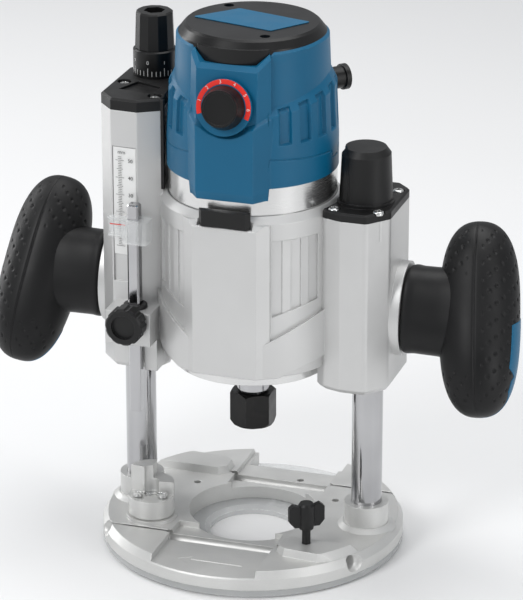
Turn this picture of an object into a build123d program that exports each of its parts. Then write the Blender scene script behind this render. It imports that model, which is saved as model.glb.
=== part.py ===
from build123d import *

import os
from math import cos, radians, sin, sqrt

# Plunge router, millimetres. +Z up along the spindle, +X to the right of a user in front,
# +Y to the rear. The origin is on the spindle axis in the plane that the base slides on.

# ---- base ----
BASE_R = 89.0            # round base, 178 across
SOLE_T = 5.0             # clear sole plate
BIT_HOLE_R = 25.7        # opening for the cutter in the sole plate
OPENING_R = 38.0         # opening in the casting above it
DECK_Z = 16.0            # top of the casting
LOW_DECK_Z = 12.5        # top of its low areas, front and rear
BOSS_Z = 20.5            # top of the bosses that hold the guide rods
GUIDE_Y = 45.5           # guide-rod axes, each side of the spindle
GUIDE_Z = 12.0
GUIDE_R = 4.05           # bores for 8 mm guide rods
LOW_FRONT = (-36.0, 28.0)
LOW_REAR = (-26.0, 33.0)
REAR_FLAT_Y = 66.0       # straight edge at the rear
BOSS_INNER = 2.0         # bosses start this far outside the low areas
ACCESSORY_X, ACCESSORY_Y, ACCESSORY_R = 43.5, 25.0, 2.1
REAR_HOLE = (12.8, 53.5)
WING_X, WING_R, WING_TOP = 47.0, 2.5, 46.0
SOLE_SCREW = (75.0, 27.5)

# ---- columns and plunge ----
COLUMN_X = 69.8          # columns each side of the spindle
COLUMN_R = 9.0
COLUMN_WALL = 2.5
COLUMN_FOOT = 11.0
COLUMN_TOP = 168.0
COLLAR_R = COLUMN_R + 4
COLLAR_TOP = 31.0
BUSH_WALL = 1.5
BUSH_LEN = 20.0
RUNNING = 0.04           # radial clearance of a running fit
GAP = 0.3                # clearance between pieces that move past each other
SPRING_R = 4.6
SPRING_WIRE = 1.2

# ---- motor carriage casting ----
BARREL_R = 53.0
BARREL_BOTTOM = 121.6
BARREL_TOP = 218.0
FRONT_Y = -BARREL_R     # flat front of the barrel
FRONT_HALF = 19.0
TOWER_BOTTOM = 108.0
LEFT_TOP = 265.0
RIGHT_TOP = 212.7
CAP_T = 7.0              # left tower cap
PLATE_T = 5.0            # right tower cap plate
DOME_R = COLUMN_R + 6
DOME_TOP = 250.0
LEFT_PLAN = [(-86.3, -15), (-76.8, -25.4), (-60.7, -26.4), (-48.1, -18.5), (-45, -10), (-45, 34),
             (-52, 40), (-78, 40), (-86.3, 32)]
RIGHT_PLAN = [(43.5, -17.5), (50.0, -23.0), (60, -26), (75, -26), (85.8, -13), (85.8, 27),
              (78, 35), (54, 35), (43, 26)]
STRIP_X = -48.9          # inner face of the left tower where it stands above the barrel
LEFT_SCREWS = ((-54.0, -14.0), (-79.5, 6.0), (-52.0, 33.0))
RIGHT_SCREWS = ((54.3, -19.2), (79.6, -17.0), (80.5, 21.0), (56.0, 27.5))
CAP_SCREW_SINK = 1.4
RIB_ANGLE, RIB_STEP = 33.0, 6.4
RIB_DEPTHS = (1.6, 0.9, 1.6, 0.9, 1.6)
EAR_HALF, EAR_BACK, EAR_GAP = 14.0, 64.0, 2.0
EAR_LOW, EAR_HIGH = 150.0, 178.0
MOTOR_LEVER_Y, MOTOR_LEVER_Z = 58.0, 164.0
LOCK_X, LOCK_Z, LOCK_SCREW_R = -COLUMN_X, 140.0, 4.0
LATCH_HALF = 16.0
LATCH_LOW, LATCH_HIGH = BARREL_TOP - 6, BARREL_TOP + 3.5

# ---- depth stop ----
ROD_X, ROD_Y = -60.2, -34.0
ROD_AF = 7.0
ROD_BOTTOM, ROD_TOP = 86.0, 213.0
TURRET_X, TURRET_Y = -54.0, -28.0
TURRET_R = 13.5
TURRET_LOW, TURRET_MID, TURRET_HIGH = 30.0, 38.0, 46.0
CLAMP_Z = 144.8
CLAMP_TOP = 150.0
CURSOR_Z = 197.0
CURSOR_LEFT, CURSOR_Y = -77.0, -30.6
CLAMP_BLOCK = (-75.0, -48.0)
CLAMP_FRONT = -44.0
CLAMP_SCREW_R = 3.0
KNOB_R = 11.2
STOP_SCREWS = ((ROD_X - TURRET_X, ROD_Y - TURRET_Y), (8.2, -3.4))
SCALE_X, SCALE_Y, SCALE_TURN = -68.75, -25.9, -3.6
SCALE_LOW, SCALE_HIGH, SCALE_WIDTH = 161.5, 243.5, 14.6
FINE_X, FINE_Y, FINE_SCREW_R = -68.0, 26.0, 3.0
FINE_RING_R, FINE_RING_H = 12.6, 16.0
FINE_KNOB_R, FINE_KNOB_H = 11.6, 22.0

# ---- motor ----
MOTOR_R = 48.4
MOTOR_BOTTOM = 114.0
RING_TOP = 234.0
SHELL_R = 49.0
SHELL_WALL = 3.0
SHELL_TOP = 310.0
CAP_TOP = SHELL_TOP + 7.6
SEAM_Z = SHELL_TOP - 60
BAND_LOW, BAND_HIGH = SHELL_TOP - 34, SHELL_TOP - 26
VENT_Z, VENT_ANGLE, VENT_STEP = SHELL_TOP - 44, 39.0, 15.0
PANEL_HALF = 22.0
PANEL_Y = -(SHELL_R + 3.5)
PANEL_FOOT = 227.0
SHAFT_R = 6.0
SPINDLE_R = 9.5
NUT_AF = 24.0
NUT_BOTTOM, NUT_TOP = 72.2, 92.7
COLLET_R = 6.0           # shank bore of the collet
DIAL_Z = SHELL_TOP - 28
DIAL_Y = PANEL_Y + 1.7
DIAL_TILT = 12.0
DIAL_R = 12.5
DIAL_SPINDLE_R = 3.0
BEZEL_R = 16.0
LOWER_BEARING_R, LOWER_BEARING_T = 21.0, 13.0
UPPER_BEARING_R, UPPER_BEARING_T = 11.0, 7.0
UPPER_BEARING_Z = 247.0
GLAND_R = 6.5
GLAND_ANGLE = 45.0
GLAND_IN, GLAND_Z = 34.0, SHELL_TOP - 34
LIP_Z = SHELL_TOP - 6
LIP = [(-16.5, -46), (17.5, -46), (21.5, -36), (-20.5, -36)]
LIP_CUT = [(-16.7, -60), (17.7, -60), (17.7, -46), (21.7, -35.8), (-20.7, -35.8), (-16.7, -46)]
TOP_SCREWS = ((-22.0, 24.0), (16.0, -27.0))
LABEL = [(-34.0, -4.0), (16.0, -17.0), (32.0, 6.0), (-14.0, 19.0)]
STATOR_LOW, STATOR_HIGH, STATOR_BORE = MOTOR_BOTTOM + 44, RING_TOP - 28, 27.0
POLE_Y = 33.5
ARMATURE_R = STATOR_BORE - 0.6
COMMUTATOR_R = 17.0
FAN_R, FAN_LOW, FAN_HIGH = 38.0, MOTOR_BOTTOM + 24, MOTOR_BOTTOM + 35

# ---- handles ----
NECK_Z = 152.0
NECK_Y = 4.0
NECK_H, NECK_D = 26.0, 18.5
FLANGE_X = 91.0
GRIP_TOP = (127.0, 31.0, 195.0)
GRIP_BOTTOM = (140.0, -16.0, 105.0)
GRIP_SECTIONS = ((-0.035, 9.0, 10.0), (0.02, 15.0, 16.0), (0.14, 19.5, 21.0), (0.38, 22.5, 23.0),
                 (0.62, 23.0, 23.0), (0.84, 21.0, 21.5), (0.96, 16.5, 17.0), (1.025, 9.0, 10.0))
SEAM_TURN, SEAM_DEPTH = -32.0, 9.0
TRIGGER_T, BUTTON_T = 0.62, 0.18
TRIGGER_WIDE, TRIGGER_LONG = 12.4, 33.0
BUTTON_R = 4.5

written = []


def save(node, *solids):
    """Write one node; a group of separate solids becomes one compound."""
    os.makedirs("parts", exist_ok=True)
    found = [s for piece in solids for s in piece.solids()]
    export_step(found[0] if len(found) == 1 else Compound(children=found), f"parts/{node}.step")
    written.append(node)


def cyl(r, z0, z1, x=0.0, y=0.0):
    return Pos(x, y, (z0 + z1) / 2) * Cylinder(r, z1 - z0)


def ring(r, bore, z0, z1, x=0.0, y=0.0):
    return cyl(r, z0, z1, x, y) - cyl(bore, z0 - 1, z1 + 1, x, y)


def cone(r0, r1, z0, z1, x=0.0, y=0.0):
    return Pos(x, y, (z0 + z1) / 2) * Cone(r0, r1, z1 - z0)


def cyl_x(r, x0, x1, y, z):
    return Pos((x0 + x1) / 2, y, z) * Rot(0, 90, 0) * Cylinder(r, x1 - x0)


def cyl_y(r, y0, y1, x, z):
    return Pos(x, (y0 + y1) / 2, z) * Rot(90, 0, 0) * Cylinder(r, y1 - y0)


def block(x0, x1, y0, y1, z0, z1):
    return Pos((x0 + x1) / 2, (y0 + y1) / 2, (z0 + z1) / 2) * Box(x1 - x0, y1 - y0, z1 - z0)


def prism(points, z0, z1, corner=0.0):
    """A plan outline carried up from z0 to z1, its corners rounded."""
    outline = Polygon(*points, align=None)
    if corner:
        outline = fillet(outline.vertices(), corner)
    return extrude(Plane.XY.offset(z0) * outline, z1 - z0, dir=(0, 0, 1))


def side_prism(points, y0, y1):
    """An outline in X and Z carried back from y0 to y1."""
    return extrude(Plane.XZ.offset(-y1) * Polygon(*points, align=None), y1 - y0, dir=(0, -1, 0))


def turned(points, x=0.0, y=0.0):
    """A profile of radius and height turned about a vertical axis."""
    return Pos(x, y, 0) * revolve(Plane.XZ * Polygon(*points, align=None), Axis.Z, 360)


def hexagon(across, z0, z1, x=0.0, y=0.0):
    flats = RegularPolygon(across / 2, 6, major_radius=False, rotation=30)
    return extrude(Plane.XY.offset(z0) * (Pos(x, y) * flats), z1 - z0)


def flipped(piece):
    """The same piece on the other side of the machine."""
    return mirror(piece, about=Plane.YZ)


def pan_screw(x, y, z, head_r=3.3, head_h=2.2, shank_r=2.0, length=10.0):
    """A cross-recess screw standing on z, its shank below."""
    head = fillet(cyl(head_r, z, z + head_h, x, y).edges().sort_by(Axis.Z)[-1], head_h * 0.6)
    cross = Box(head_r * 1.1, 0.8, 1.6) + Box(0.8, head_r * 1.1, 1.6)
    return head + cyl(shank_r, z - length, z + 0.5, x, y) - Pos(x, y, z + head_h) * cross


# ---------------------------------------------------------------- base

def guide_bosses():
    """Faceted bosses over the guide-rod bores, cut off by the rim."""
    made = []
    for side_x in (-1, 1):
        for side_y in (-1, 1):
            low = LOW_FRONT if side_y < 0 else LOW_REAR
            inner = abs(low[0] if side_x < 0 else low[1]) + BOSS_INNER
            plan = [(inner + 6, 37), (inner, 43), (inner, 54), (inner + 6, 59), (58, 61), (80, 48), (80, 37)]
            plan = [(side_x * x, side_y * y) for x, y in plan]
            made.append(extrude(Plane.XY.offset(DECK_Z - 4) * Polygon(*plan, align=None),
                                BOSS_Z - DECK_Z + 4, taper=18))
    return made


def base_casting():
    rim = 3.0
    disc = turned([(0, SOLE_T), (BASE_R, SOLE_T), (BASE_R, DECK_Z - rim - 1.5),
                   (BASE_R - rim, DECK_Z), (0, DECK_Z)])
    outer = turned([(0, SOLE_T), (BASE_R, SOLE_T), (BASE_R, DECK_Z - rim - 1.5),
                    (BASE_R - 9, BOSS_Z + 3), (0, BOSS_Z + 3)])
    low_front = block(*LOW_FRONT, -BASE_R - 1, -30, LOW_DECK_Z, BOSS_Z + 5)
    low_rear = block(*LOW_REAR, 30, BASE_R + 1, LOW_DECK_Z, BOSS_Z + 5)
    body = disc - low_front - low_rear
    for boss in guide_bosses():
        body += boss & outer
    for side in (-1, 1):
        body += cyl(COLLAR_R, DECK_Z - 2, COLLAR_TOP, side * COLUMN_X)
        body += cone(COLLAR_R + 5, COLLAR_R + 1, DECK_Z - 1, DECK_Z + 2.5, side * COLUMN_X)
    body += cyl(TURRET_R + 1.5, DECK_Z - 2, DECK_Z + 2, TURRET_X, TURRET_Y)
    body -= cyl(OPENING_R, 0, BOSS_Z + 20)
    body -= block(LOW_REAR[0] + 2, LOW_REAR[1] + 2, REAR_FLAT_Y, BASE_R + 1, SOLE_T - 1, BOSS_Z + 5)
    for side_y in (-1, 1):
        low = LOW_FRONT if side_y < 0 else LOW_REAR
        body -= cyl_x(GUIDE_R, -BASE_R - 1, BASE_R + 1, side_y * GUIDE_Y, GUIDE_Z)
        body -= cyl_x(GUIDE_R + GAP, low[0] - BOSS_INNER, low[1] + BOSS_INNER, side_y * GUIDE_Y, GUIDE_Z)
        reach = sqrt(BASE_R ** 2 - GUIDE_Y ** 2)
        for side_x in (-1, 1):
            body -= Pos(side_x * (reach + 2), side_y * (GUIDE_Y + 1), GUIDE_Z + 0.5) * Sphere(6.5)
    for side in (-1, 1):
        body -= cyl(COLUMN_R, COLUMN_FOOT, COLLAR_TOP + 1, side * COLUMN_X)
        body -= cyl(3.0, SOLE_T - 1, COLUMN_FOOT + 1, side * COLUMN_X)
        body -= cyl(5.2, SOLE_T - 1, COLUMN_FOOT - 3, side * COLUMN_X)
        body -= cyl(ACCESSORY_R, 0, BOSS_Z + 5, side * ACCESSORY_X, ACCESSORY_Y)
    body -= cyl(ACCESSORY_R, 0, BOSS_Z + 5, *REAR_HOLE)
    body -= cyl(2.5, SOLE_T + 2, BOSS_Z + 5, TURRET_X, TURRET_Y)
    body -= cyl(WING_R + RUNNING, GUIDE_Z, BOSS_Z + 5, WING_X, -GUIDE_Y)
    for x, y in sole_screw_places():
        body -= cyl(2.0, SOLE_T - 1, LOW_DECK_Z - 1, x, y)
    body -= feed_arrow()
    return body


def sole_screw_places():
    return [(sx * SOLE_SCREW[0], sy * SOLE_SCREW[1]) for sx in (-1, 1) for sy in (-1, 1)]


def feed_arrow():
    """The feed-direction arrow sunk in the low front deck."""
    z = LOW_DECK_Z - 0.4
    shaft = block(-15, 16, -72.6, -70.4, z, z + 2)
    head = prism([(-15, -76), (-23, -71.5), (-15, -67)], z, z + 2)
    return shaft + head


def sole_plate():
    plate = turned([(BIT_HOLE_R, 0), (BASE_R - 1.5, 0), (BASE_R, 1.5), (BASE_R, SOLE_T),
                    (BIT_HOLE_R + 3.0, SOLE_T), (BIT_HOLE_R, SOLE_T - 2.0)])
    for x, y in sole_screw_places():
        plate -= cyl(2.1, -1, SOLE_T + 1, x, y) + cone(4.9, 2.1, 0, 2.8, x, y)
    return plate


def sole_plate_screws():
    made = []
    for x, y in sole_screw_places():
        screw = cone(4.4, 1.95, 0.3, 2.75, x, y) + cyl(1.95, 2.5, LOW_DECK_Z - 2, x, y)
        made.append(screw - block(x - 3, x + 3, y - 0.5, y + 0.5, 0, 1.3))
    return made


def column(side):
    x = side * COLUMN_X
    body = cyl(COLUMN_R, COLUMN_FOOT, COLUMN_TOP, x)
    body = chamfer(body.edges().sort_by(Axis.Z)[-1], 1.0)
    bore = cyl(COLUMN_R - COLUMN_WALL, COLUMN_FOOT + 18, COLUMN_TOP + 1, x)
    return body - bore - cyl(3.0, COLUMN_FOOT - 1, COLUMN_FOOT + 14, x)


def column_bolts():
    made = []
    for side in (-1, 1):
        x = side * COLUMN_X
        bolt = cyl(5.0, SOLE_T + 0.2, COLUMN_FOOT - 3, x) + cyl(2.98, COLUMN_FOOT - 3.5, COLUMN_FOOT + 13, x)
        made.append(bolt - hexagon(4.0, SOLE_T, SOLE_T + 2, x))
    return made


# ---------------------------------------------------------------- depth stop turret and wing screw


def turret():
    z0 = DECK_Z + 2 + 0.1
    body = cyl(TURRET_R, z0, TURRET_LOW, TURRET_X, TURRET_Y)
    body = chamfer(body.edges().sort_by(Axis.Z)[0], 0.8)
    mid = prism([(0, 0), (30, 4), (30, 40), (-8, 40), (-2, 0)], TURRET_LOW - 1, TURRET_MID)
    tall = prism([(0, 0), (-3, 40), (-40, 40), (-40, 6)], TURRET_LOW - 1, TURRET_HIGH)
    limit = cyl(TURRET_R, TURRET_LOW - 2, TURRET_HIGH + 1) - cyl(4.5, TURRET_LOW - 2, TURRET_HIGH + 1)
    body += Pos(TURRET_X, TURRET_Y, 0) * ((mid + tall) & limit)
    body -= cyl(2.5 + RUNNING, 0, 60, TURRET_X, TURRET_Y)
    body -= cyl(4.2, TURRET_LOW - 3, 60, TURRET_X, TURRET_Y)
    for x, y in STOP_SCREWS:
        body -= cyl(1.5, z0 + 3, 60, TURRET_X + x, TURRET_Y + y)
    return body


def turret_adjusting_screws():
    """Cheese-head screws that trim the height of the steps."""
    made = []
    top = TURRET_LOW
    for x, y in STOP_SCREWS:
        px, py = TURRET_X + x, TURRET_Y + y
        screw = cyl(2.9, top + 0.6, top + 2.6, px, py) + cyl(1.48, top - 7, top + 0.7, px, py)
        made.append(screw - block(px - 3, px + 3, py - 0.4, py + 0.4, top + 1.8, top + 3))
    return made


def turret_pivot_screw():
    top = TURRET_LOW - 0.4
    screw = cyl(3.9, top - 2.3, top, TURRET_X, TURRET_Y) + cyl(2.48, SOLE_T + 3, top - 2, TURRET_X, TURRET_Y)
    return screw - block(TURRET_X - 4, TURRET_X + 4, TURRET_Y - 0.5, TURRET_Y + 0.5, top - 1, top + 1)


def wing_screw():
    """Wing screw that clamps a front guide rod."""
    hub = turned([(0, 30), (4.2, 30), (4.8, 33), (4.8, WING_TOP - 1.5), (3.8, WING_TOP), (0, WING_TOP)])
    shaft = cyl(WING_R, GUIDE_Z + GUIDE_R + 0.4, 31)
    wing = side_prism([(0, 31.5), (7.5, 31.5), (10.5, 35), (10.5, 43.5), (8, WING_TOP - 0.5), (4, 44)], -1.9, 1.9)
    whole = hub + shaft + wing + wing.rotate(Axis.Z, 180)
    return Pos(WING_X, -GUIDE_Y, 0) * (Rot(0, 0, 35) * whole)


# ---------------------------------------------------------------- carriage casting


def tower(plan, top, corner):
    """A tower carried up from its plan, with a bevel round its foot."""
    bevel = 2.5
    outline = Polygon(*plan, align=None)
    outline = Plane.XY.offset(TOWER_BOTTOM + bevel) * fillet(outline.vertices(), corner)
    return extrude(outline, top - TOWER_BOTTOM - bevel) + extrude(outline, -bevel, taper=40)


def left_tower():
    return tower(LEFT_PLAN, LEFT_TOP, 1.2)


def right_tower():
    return tower(RIGHT_PLAN, RIGHT_TOP, 4.0)


def belt():
    """Raised belt low on the barrel, sloping up to the right-hand tower."""
    band = side_prism([(FRONT_HALF, BARREL_BOTTOM), (FRONT_HALF, 137), (23.5, 143), (51, 158),
                       (51, 130), (30, BARREL_BOTTOM)], -58, 0)
    limit = turned([(0, BARREL_BOTTOM), (BARREL_R + 2.2, BARREL_BOTTOM), (BARREL_R + 2.2, 165), (0, 165)])
    return band & limit


def rib_recess():
    """Sunk panel with upright ribs beside the flat front."""
    low, high = BARREL_BOTTOM + 28.4, BARREL_TOP - 14
    strips = []
    for n, depth in enumerate(RIB_DEPTHS):
        turn = RIB_ANGLE + n * RIB_STEP
        r = BARREL_R - depth + 6
        strips.append(Pos(r * sin(radians(turn)), -r * cos(radians(turn)), (low + high) / 2)
                      * Rot(0, 0, turn) * Box(6.2, 12, high - low + 3))
    cut = strips[0] + strips[1:]
    reach = BARREL_R + 7
    return cut & side_prism([(0, low), (reach, low + 19), (reach, high), (0, high)], -reach, 0)


def handle_seat(side):
    """Cast flange that a handle bolts to."""
    oval = Ellipse(NECK_D + 1.5, NECK_H + 1.5)
    start = 62.0
    plane = Plane(origin=(start, NECK_Y + 3, NECK_Z), x_dir=(0, 1, 0), z_dir=(1, 0, 0))
    seat = extrude(plane * (Rot(0, 0, -14) * oval), FLANGE_X - start)
    return seat if side > 0 else flipped(seat)


def plunge_housing():
    bore = MOTOR_R + GAP
    rim = 4.0
    barrel = turned([(0, BARREL_BOTTOM), (BARREL_R, BARREL_BOTTOM), (BARREL_R, BARREL_TOP - rim),
                     (BARREL_R - rim + 0.5, BARREL_TOP), (0, BARREL_TOP)])
    front = prism([(-FRONT_HALF, FRONT_Y), (FRONT_HALF, FRONT_Y), (25.5, -48), (25.5, -20), (-25.5, -20),
                   (-25.5, -48)], BARREL_BOTTOM, BARREL_TOP - rim)
    front = chamfer(front.edges().filter_by(Axis.X).sort_by(Axis.Y)[0:2].sort_by(Axis.Z)[-1], 3.0)
    body = barrel + front + belt() + flipped(belt())
    body -= rib_recess()
    body -= flipped(rib_recess())
    body += left_tower() + right_tower()
    body += handle_seat(1) + handle_seat(-1)
    body += clamp_ears()
    body += block(*CLAMP_BLOCK, CLAMP_FRONT, -20, CLAMP_Z - 14.8, CLAMP_TOP)
    body += block(CLAMP_BLOCK[0] + 19, CLAMP_BLOCK[1] - 0.5, -31, -18, TOWER_BOTTOM + 2, CLAMP_Z - 14)
    body += cyl_y(9.0, 20, 44, LOCK_X, LOCK_Z)
    body -= cyl(bore, 0, 400)
    body -= cyl(SHELL_R + 1.5, BARREL_TOP - 0.01, 400)
    body -= block(STRIP_X, 0, -60, -10, BARREL_TOP, 400)
    for side, top in ((-1, LEFT_TOP), (1, RIGHT_TOP)):
        x = side * COLUMN_X
        body -= cyl(COLUMN_R + GAP, 0, 400, x)
        pocket = COLUMN_R + BUSH_WALL
        body -= cyl(pocket, TOWER_BOTTOM - 1, TOWER_BOTTOM + BUSH_LEN + 2, x)
        body -= cyl(pocket, COLUMN_TOP - BUSH_LEN - 2, 400, x)
    slot = ROD_AF / 2 + GAP
    body -= block(ROD_X - slot, ROD_X + slot, ROD_Y - slot, ROD_Y + slot, 0, 400)
    body -= cyl_y(CLAMP_SCREW_R + RUNNING, CLAMP_FRONT - 1, ROD_Y, ROD_X, CLAMP_Z)
    body -= scale_recess()
    body -= cyl(FINE_SCREW_R + RUNNING, 190, 400, FINE_X, FINE_Y)
    body -= cyl_y(LOCK_SCREW_R + RUNNING, COLUMN_R + 2, 45, LOCK_X, LOCK_Z)
    for x, y in LEFT_SCREWS:
        body -= cyl(2.0, LEFT_TOP - 12, LEFT_TOP + 1, x, y)
    for x, y in RIGHT_SCREWS:
        body -= cyl(2.0, RIGHT_TOP - 12, RIGHT_TOP + 1, x, y)
    for x, y, z in handle_bolt_places():
        body -= cyl_x(3.0, min(0.92 * x, x), max(0.92 * x, x), y, z)
    body -= latch_seat()
    return body


def clamp_ears():
    """Two ears behind the barrel with a slit between them, closed by the motor clamp."""
    return block(-EAR_HALF, EAR_HALF, BARREL_R - 6, EAR_BACK, EAR_LOW, EAR_HIGH)


def clamp_slit():
    return block(-EAR_GAP, EAR_GAP, 40, 70, 100, 230)


def on_facet(piece):
    """Puts a piece on the front facet of the left tower, X along it and Y into it."""
    return Pos(SCALE_X, SCALE_Y, 0) * Rot(0, 0, SCALE_TURN) * piece


def scale_recess():
    """Sunk strip down the front facet of the left tower that holds the depth scale."""
    return on_facet(Pos(0, 0.4, (SCALE_LOW + SCALE_HIGH) / 2) * Box(SCALE_WIDTH, 1.6, SCALE_HIGH - SCALE_LOW))


def depth_scale():
    low, high = SCALE_LOW + 16.5, SCALE_HIGH - 0.5
    return on_facet(Pos(0, 0.8, (low + high) / 2) * Box(SCALE_WIDTH - 0.6, 0.8, high - low))


def left_tower_cap():
    z0 = LEFT_TOP
    body = prism(LEFT_PLAN, z0, z0 + CAP_T, 1.2)
    body = chamfer(body.faces().sort_by(Axis.Z)[-1].edges(), 1.2)
    body += cyl(14.2, z0, z0 + CAP_T, FINE_X, FINE_Y)
    body -= cyl(SHELL_R + 1.5, 0, 400)
    strip = [(STRIP_X, -19.2), (STRIP_X + 1.8, -19.4), (STRIP_X + 1.8, -17.4), (STRIP_X, -17.4)]
    body += prism(strip, BARREL_TOP + 0.1, z0 + CAP_T - 0.5)
    body -= prism([(-78, -8), (-56, -12), (-56, 2), (-72, 8)], z0 + CAP_T - 1.5, z0 + 20)
    body -= cyl(FINE_SCREW_R + RUNNING, 0, 400, FINE_X, FINE_Y)
    for x, y in LEFT_SCREWS:
        body -= cyl(2.1, 0, 400, x, y) + cyl(4.2, z0 + CAP_T - 3, 400, x, y)
    return body


def right_tower_cap():
    """Cap plate with the raised dome that the column rises into."""
    x = COLUMN_X - 2.6
    body = prism(RIGHT_PLAN, RIGHT_TOP, RIGHT_TOP + PLATE_T, 4.0)
    body = chamfer(body.faces().sort_by(Axis.Z)[-1].edges(), 1.0)
    top = RIGHT_TOP + PLATE_T
    body += turned([(0, top - 1), (DOME_R + 1.5, top - 1), (DOME_R + 1.5, top + 2), (DOME_R, top + 2),
                    (DOME_R - 1.2, DOME_TOP - 4.5), (DOME_R - 3.7, DOME_TOP - 1.2), (0, DOME_TOP - 1.2)], x)
    rear = turned([(0, top - 1), (DOME_R + 0.6, top - 1), (DOME_R + 0.6, top + 2),
                   (DOME_R - 0.6, DOME_TOP - 3.5), (DOME_R - 3.2, DOME_TOP), (0, DOME_TOP)], x)
    body += rear & prism([(x + 1, -30), (x + 40, -30), (x + 40, 30), (x - 14, 30), (x - 14, 5)], top - 2, DOME_TOP + 2)
    hollow = turned([(0, RIGHT_TOP - 1), (COLUMN_R + 1.2, RIGHT_TOP - 1), (COLUMN_R + 1.2, DOME_TOP - 6),
                     (0, DOME_TOP - 6)], COLUMN_X)
    body -= hollow
    body -= cyl(BARREL_R + 0.1, 0, 400)
    for sx, sy in RIGHT_SCREWS:
        body -= cyl(2.1, 0, 400, sx, sy) + cyl(3.9, top - CAP_SCREW_SINK, 400, sx, sy)
    return body


def cap_screws(places, z):
    return [pan_screw(x, y, z) for x, y in places]


def column_bushings():
    made = []
    for side in (-1, 1):
        x = side * COLUMN_X
        for z0 in (TOWER_BOTTOM + 2, COLUMN_TOP - BUSH_LEN - 2):
            made.append(ring(COLUMN_R + BUSH_WALL, COLUMN_R + RUNNING, z0, z0 + BUSH_LEN, x))
    return made


def plunge_spring(side, top):
    """Coil spring inside a hollow column, from its plug up to the tower's cap."""
    x = side * COLUMN_X
    foot = COLUMN_FOOT + 18 + SPRING_WIRE / 2 + 0.1
    height = top - foot - SPRING_WIRE / 2 - 0.1
    path = Helix(pitch=height / 24, height=height, radius=SPRING_R)
    start = Plane(origin=path @ 0, z_dir=path % 0)
    wire = sweep(start * Circle(SPRING_WIRE / 2), path=path, is_frenet=True)
    return Pos(x, 0, foot) * wire


def stop_rod():
    half = ROD_AF / 2
    body = block(ROD_X - half, ROD_X + half, ROD_Y - half, ROD_Y + half, ROD_BOTTOM, ROD_TOP)
    body = chamfer(body.edges().filter_by(Axis.Z), 1.1)
    return chamfer(body.faces().sort_by(Axis.Z)[-1].edges(), 0.8)


def rod_seal_ring():
    half = ROD_AF / 2 + GAP
    body = cyl(ROD_AF / 2 + 3.5, CLAMP_TOP, CLAMP_TOP + 2.4, ROD_X, ROD_Y)
    body = fillet(body.edges().sort_by(Axis.Z)[-1], 1.1)
    return body - block(ROD_X - half, ROD_X + half, ROD_Y - half, ROD_Y + half, 100, 200)


def depth_cursor():
    """Clear cursor that clips round the stop rod and reaches over the scale."""
    inner = ROD_AF / 2 + 0.02
    z0, z1 = CURSOR_Z - 7, CURSOR_Z + 7
    wall = inner + 2.7
    clip = block(ROD_X - wall, ROD_X + wall + 3.3, ROD_Y - wall, ROD_Y + wall - 0.6, z0, z1)
    clip = fillet(clip.edges().filter_by(Axis.Z), 2.0)
    clip -= block(ROD_X - inner, ROD_X + inner, ROD_Y - inner, ROD_Y + inner, z0 - 1, z1 + 1)
    reach = ROD_X - wall + 0.2
    arm = block(CURSOR_LEFT, reach, CURSOR_Y, CURSOR_Y + 2, z0 + 1, z1 - 1)
    for low in (z0 + 1, z1 - 2.4):
        arm += block(CURSOR_LEFT, reach, CURSOR_Y - 1.8, CURSOR_Y + 2, low, low + 1.4)
    line = block(CURSOR_LEFT + 1, CURSOR_LEFT + 11, CURSOR_Y + 1.7, CURSOR_Y + 3, CURSOR_Z + 0.7, CURSOR_Z + 1.3)
    return clip + arm - line


def clamp_knob():
    """Fluted knob on the screw that clamps the stop rod."""
    face, back = CLAMP_FRONT - 11.5, CLAMP_FRONT - 0.6
    body = cyl_y(KNOB_R, face, back - 1.5, ROD_X, CLAMP_Z)
    body = chamfer(body.edges().sort_by(Axis.Y)[0], 1.2)
    for n in range(10):
        a = radians(36 * n + 9)
        body -= cyl_y(1.6, face - 1, back, ROD_X + (KNOB_R + 0.8) * cos(a), CLAMP_Z + (KNOB_R + 0.8) * sin(a))
    body -= cyl_y(KNOB_R - 4, face - 1, face + 2.2, ROD_X, CLAMP_Z)
    body += cyl_y(6.0, back - 2, back, ROD_X, CLAMP_Z)
    return body + cyl_y(CLAMP_SCREW_R, back - 1, ROD_Y - ROD_AF / 2 - 0.05, ROD_X, CLAMP_Z)


def fine_adjust_scale():
    z0 = LEFT_TOP + CAP_T
    body = cyl(FINE_RING_R, z0 + 0.1, z0 + FINE_RING_H, FINE_X, FINE_Y)
    body = chamfer(body.edges().sort_by(Axis.Z)[-1], 0.8)
    return body - cyl(FINE_SCREW_R, 0, 400, FINE_X, FINE_Y)


def fine_adjust_knob():
    z0 = LEFT_TOP + CAP_T + FINE_RING_H
    z1 = z0 + FINE_KNOB_H
    body = extrude(Plane.XY.offset(z0) * Pos(FINE_X, FINE_Y) * RegularPolygon(FINE_KNOB_R, 12, major_radius=True),
                   z1 - z0, taper=2.0)
    body = chamfer(body.faces().sort_by(Axis.Z)[-1].edges(), 0.9)
    return body - hexagon(11.0, z1 - 6, z1 + 1, FINE_X, FINE_Y) - cyl(FINE_SCREW_R, 0, z0 + 8, FINE_X, FINE_Y)


def fine_adjust_screw():
    z1 = LEFT_TOP + CAP_T + FINE_RING_H + 7.95
    return cyl(FINE_SCREW_R - 0.02, 196, z1, FINE_X, FINE_Y)


# ---------------------------------------------------------------- handles

def grip_plane(t):
    """Plane across the right-hand grip, t from 0 at its foot to 1 at its head."""
    foot, head = Vector(*GRIP_BOTTOM), Vector(*GRIP_TOP)
    along = (head - foot).normalized()
    across = Vector(1, 0, 0) - along * along.X
    return Plane(origin=foot + (head - foot) * t, x_dir=across, z_dir=along)


def grip_blank():
    faces = [grip_plane(t) * Ellipse(rx, ry) for t, rx, ry in GRIP_SECTIONS]
    return loft(faces)


def seam_block(depth, reach=90.0):
    """The half-space behind a plane that runs along the grip, depth behind its middle."""
    middle = grip_plane(0.5)
    return middle * (Rot(0, 0, SEAM_TURN) * Pos(0, depth + reach / 2, 0) * Box(reach, reach, 2 * reach))


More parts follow.
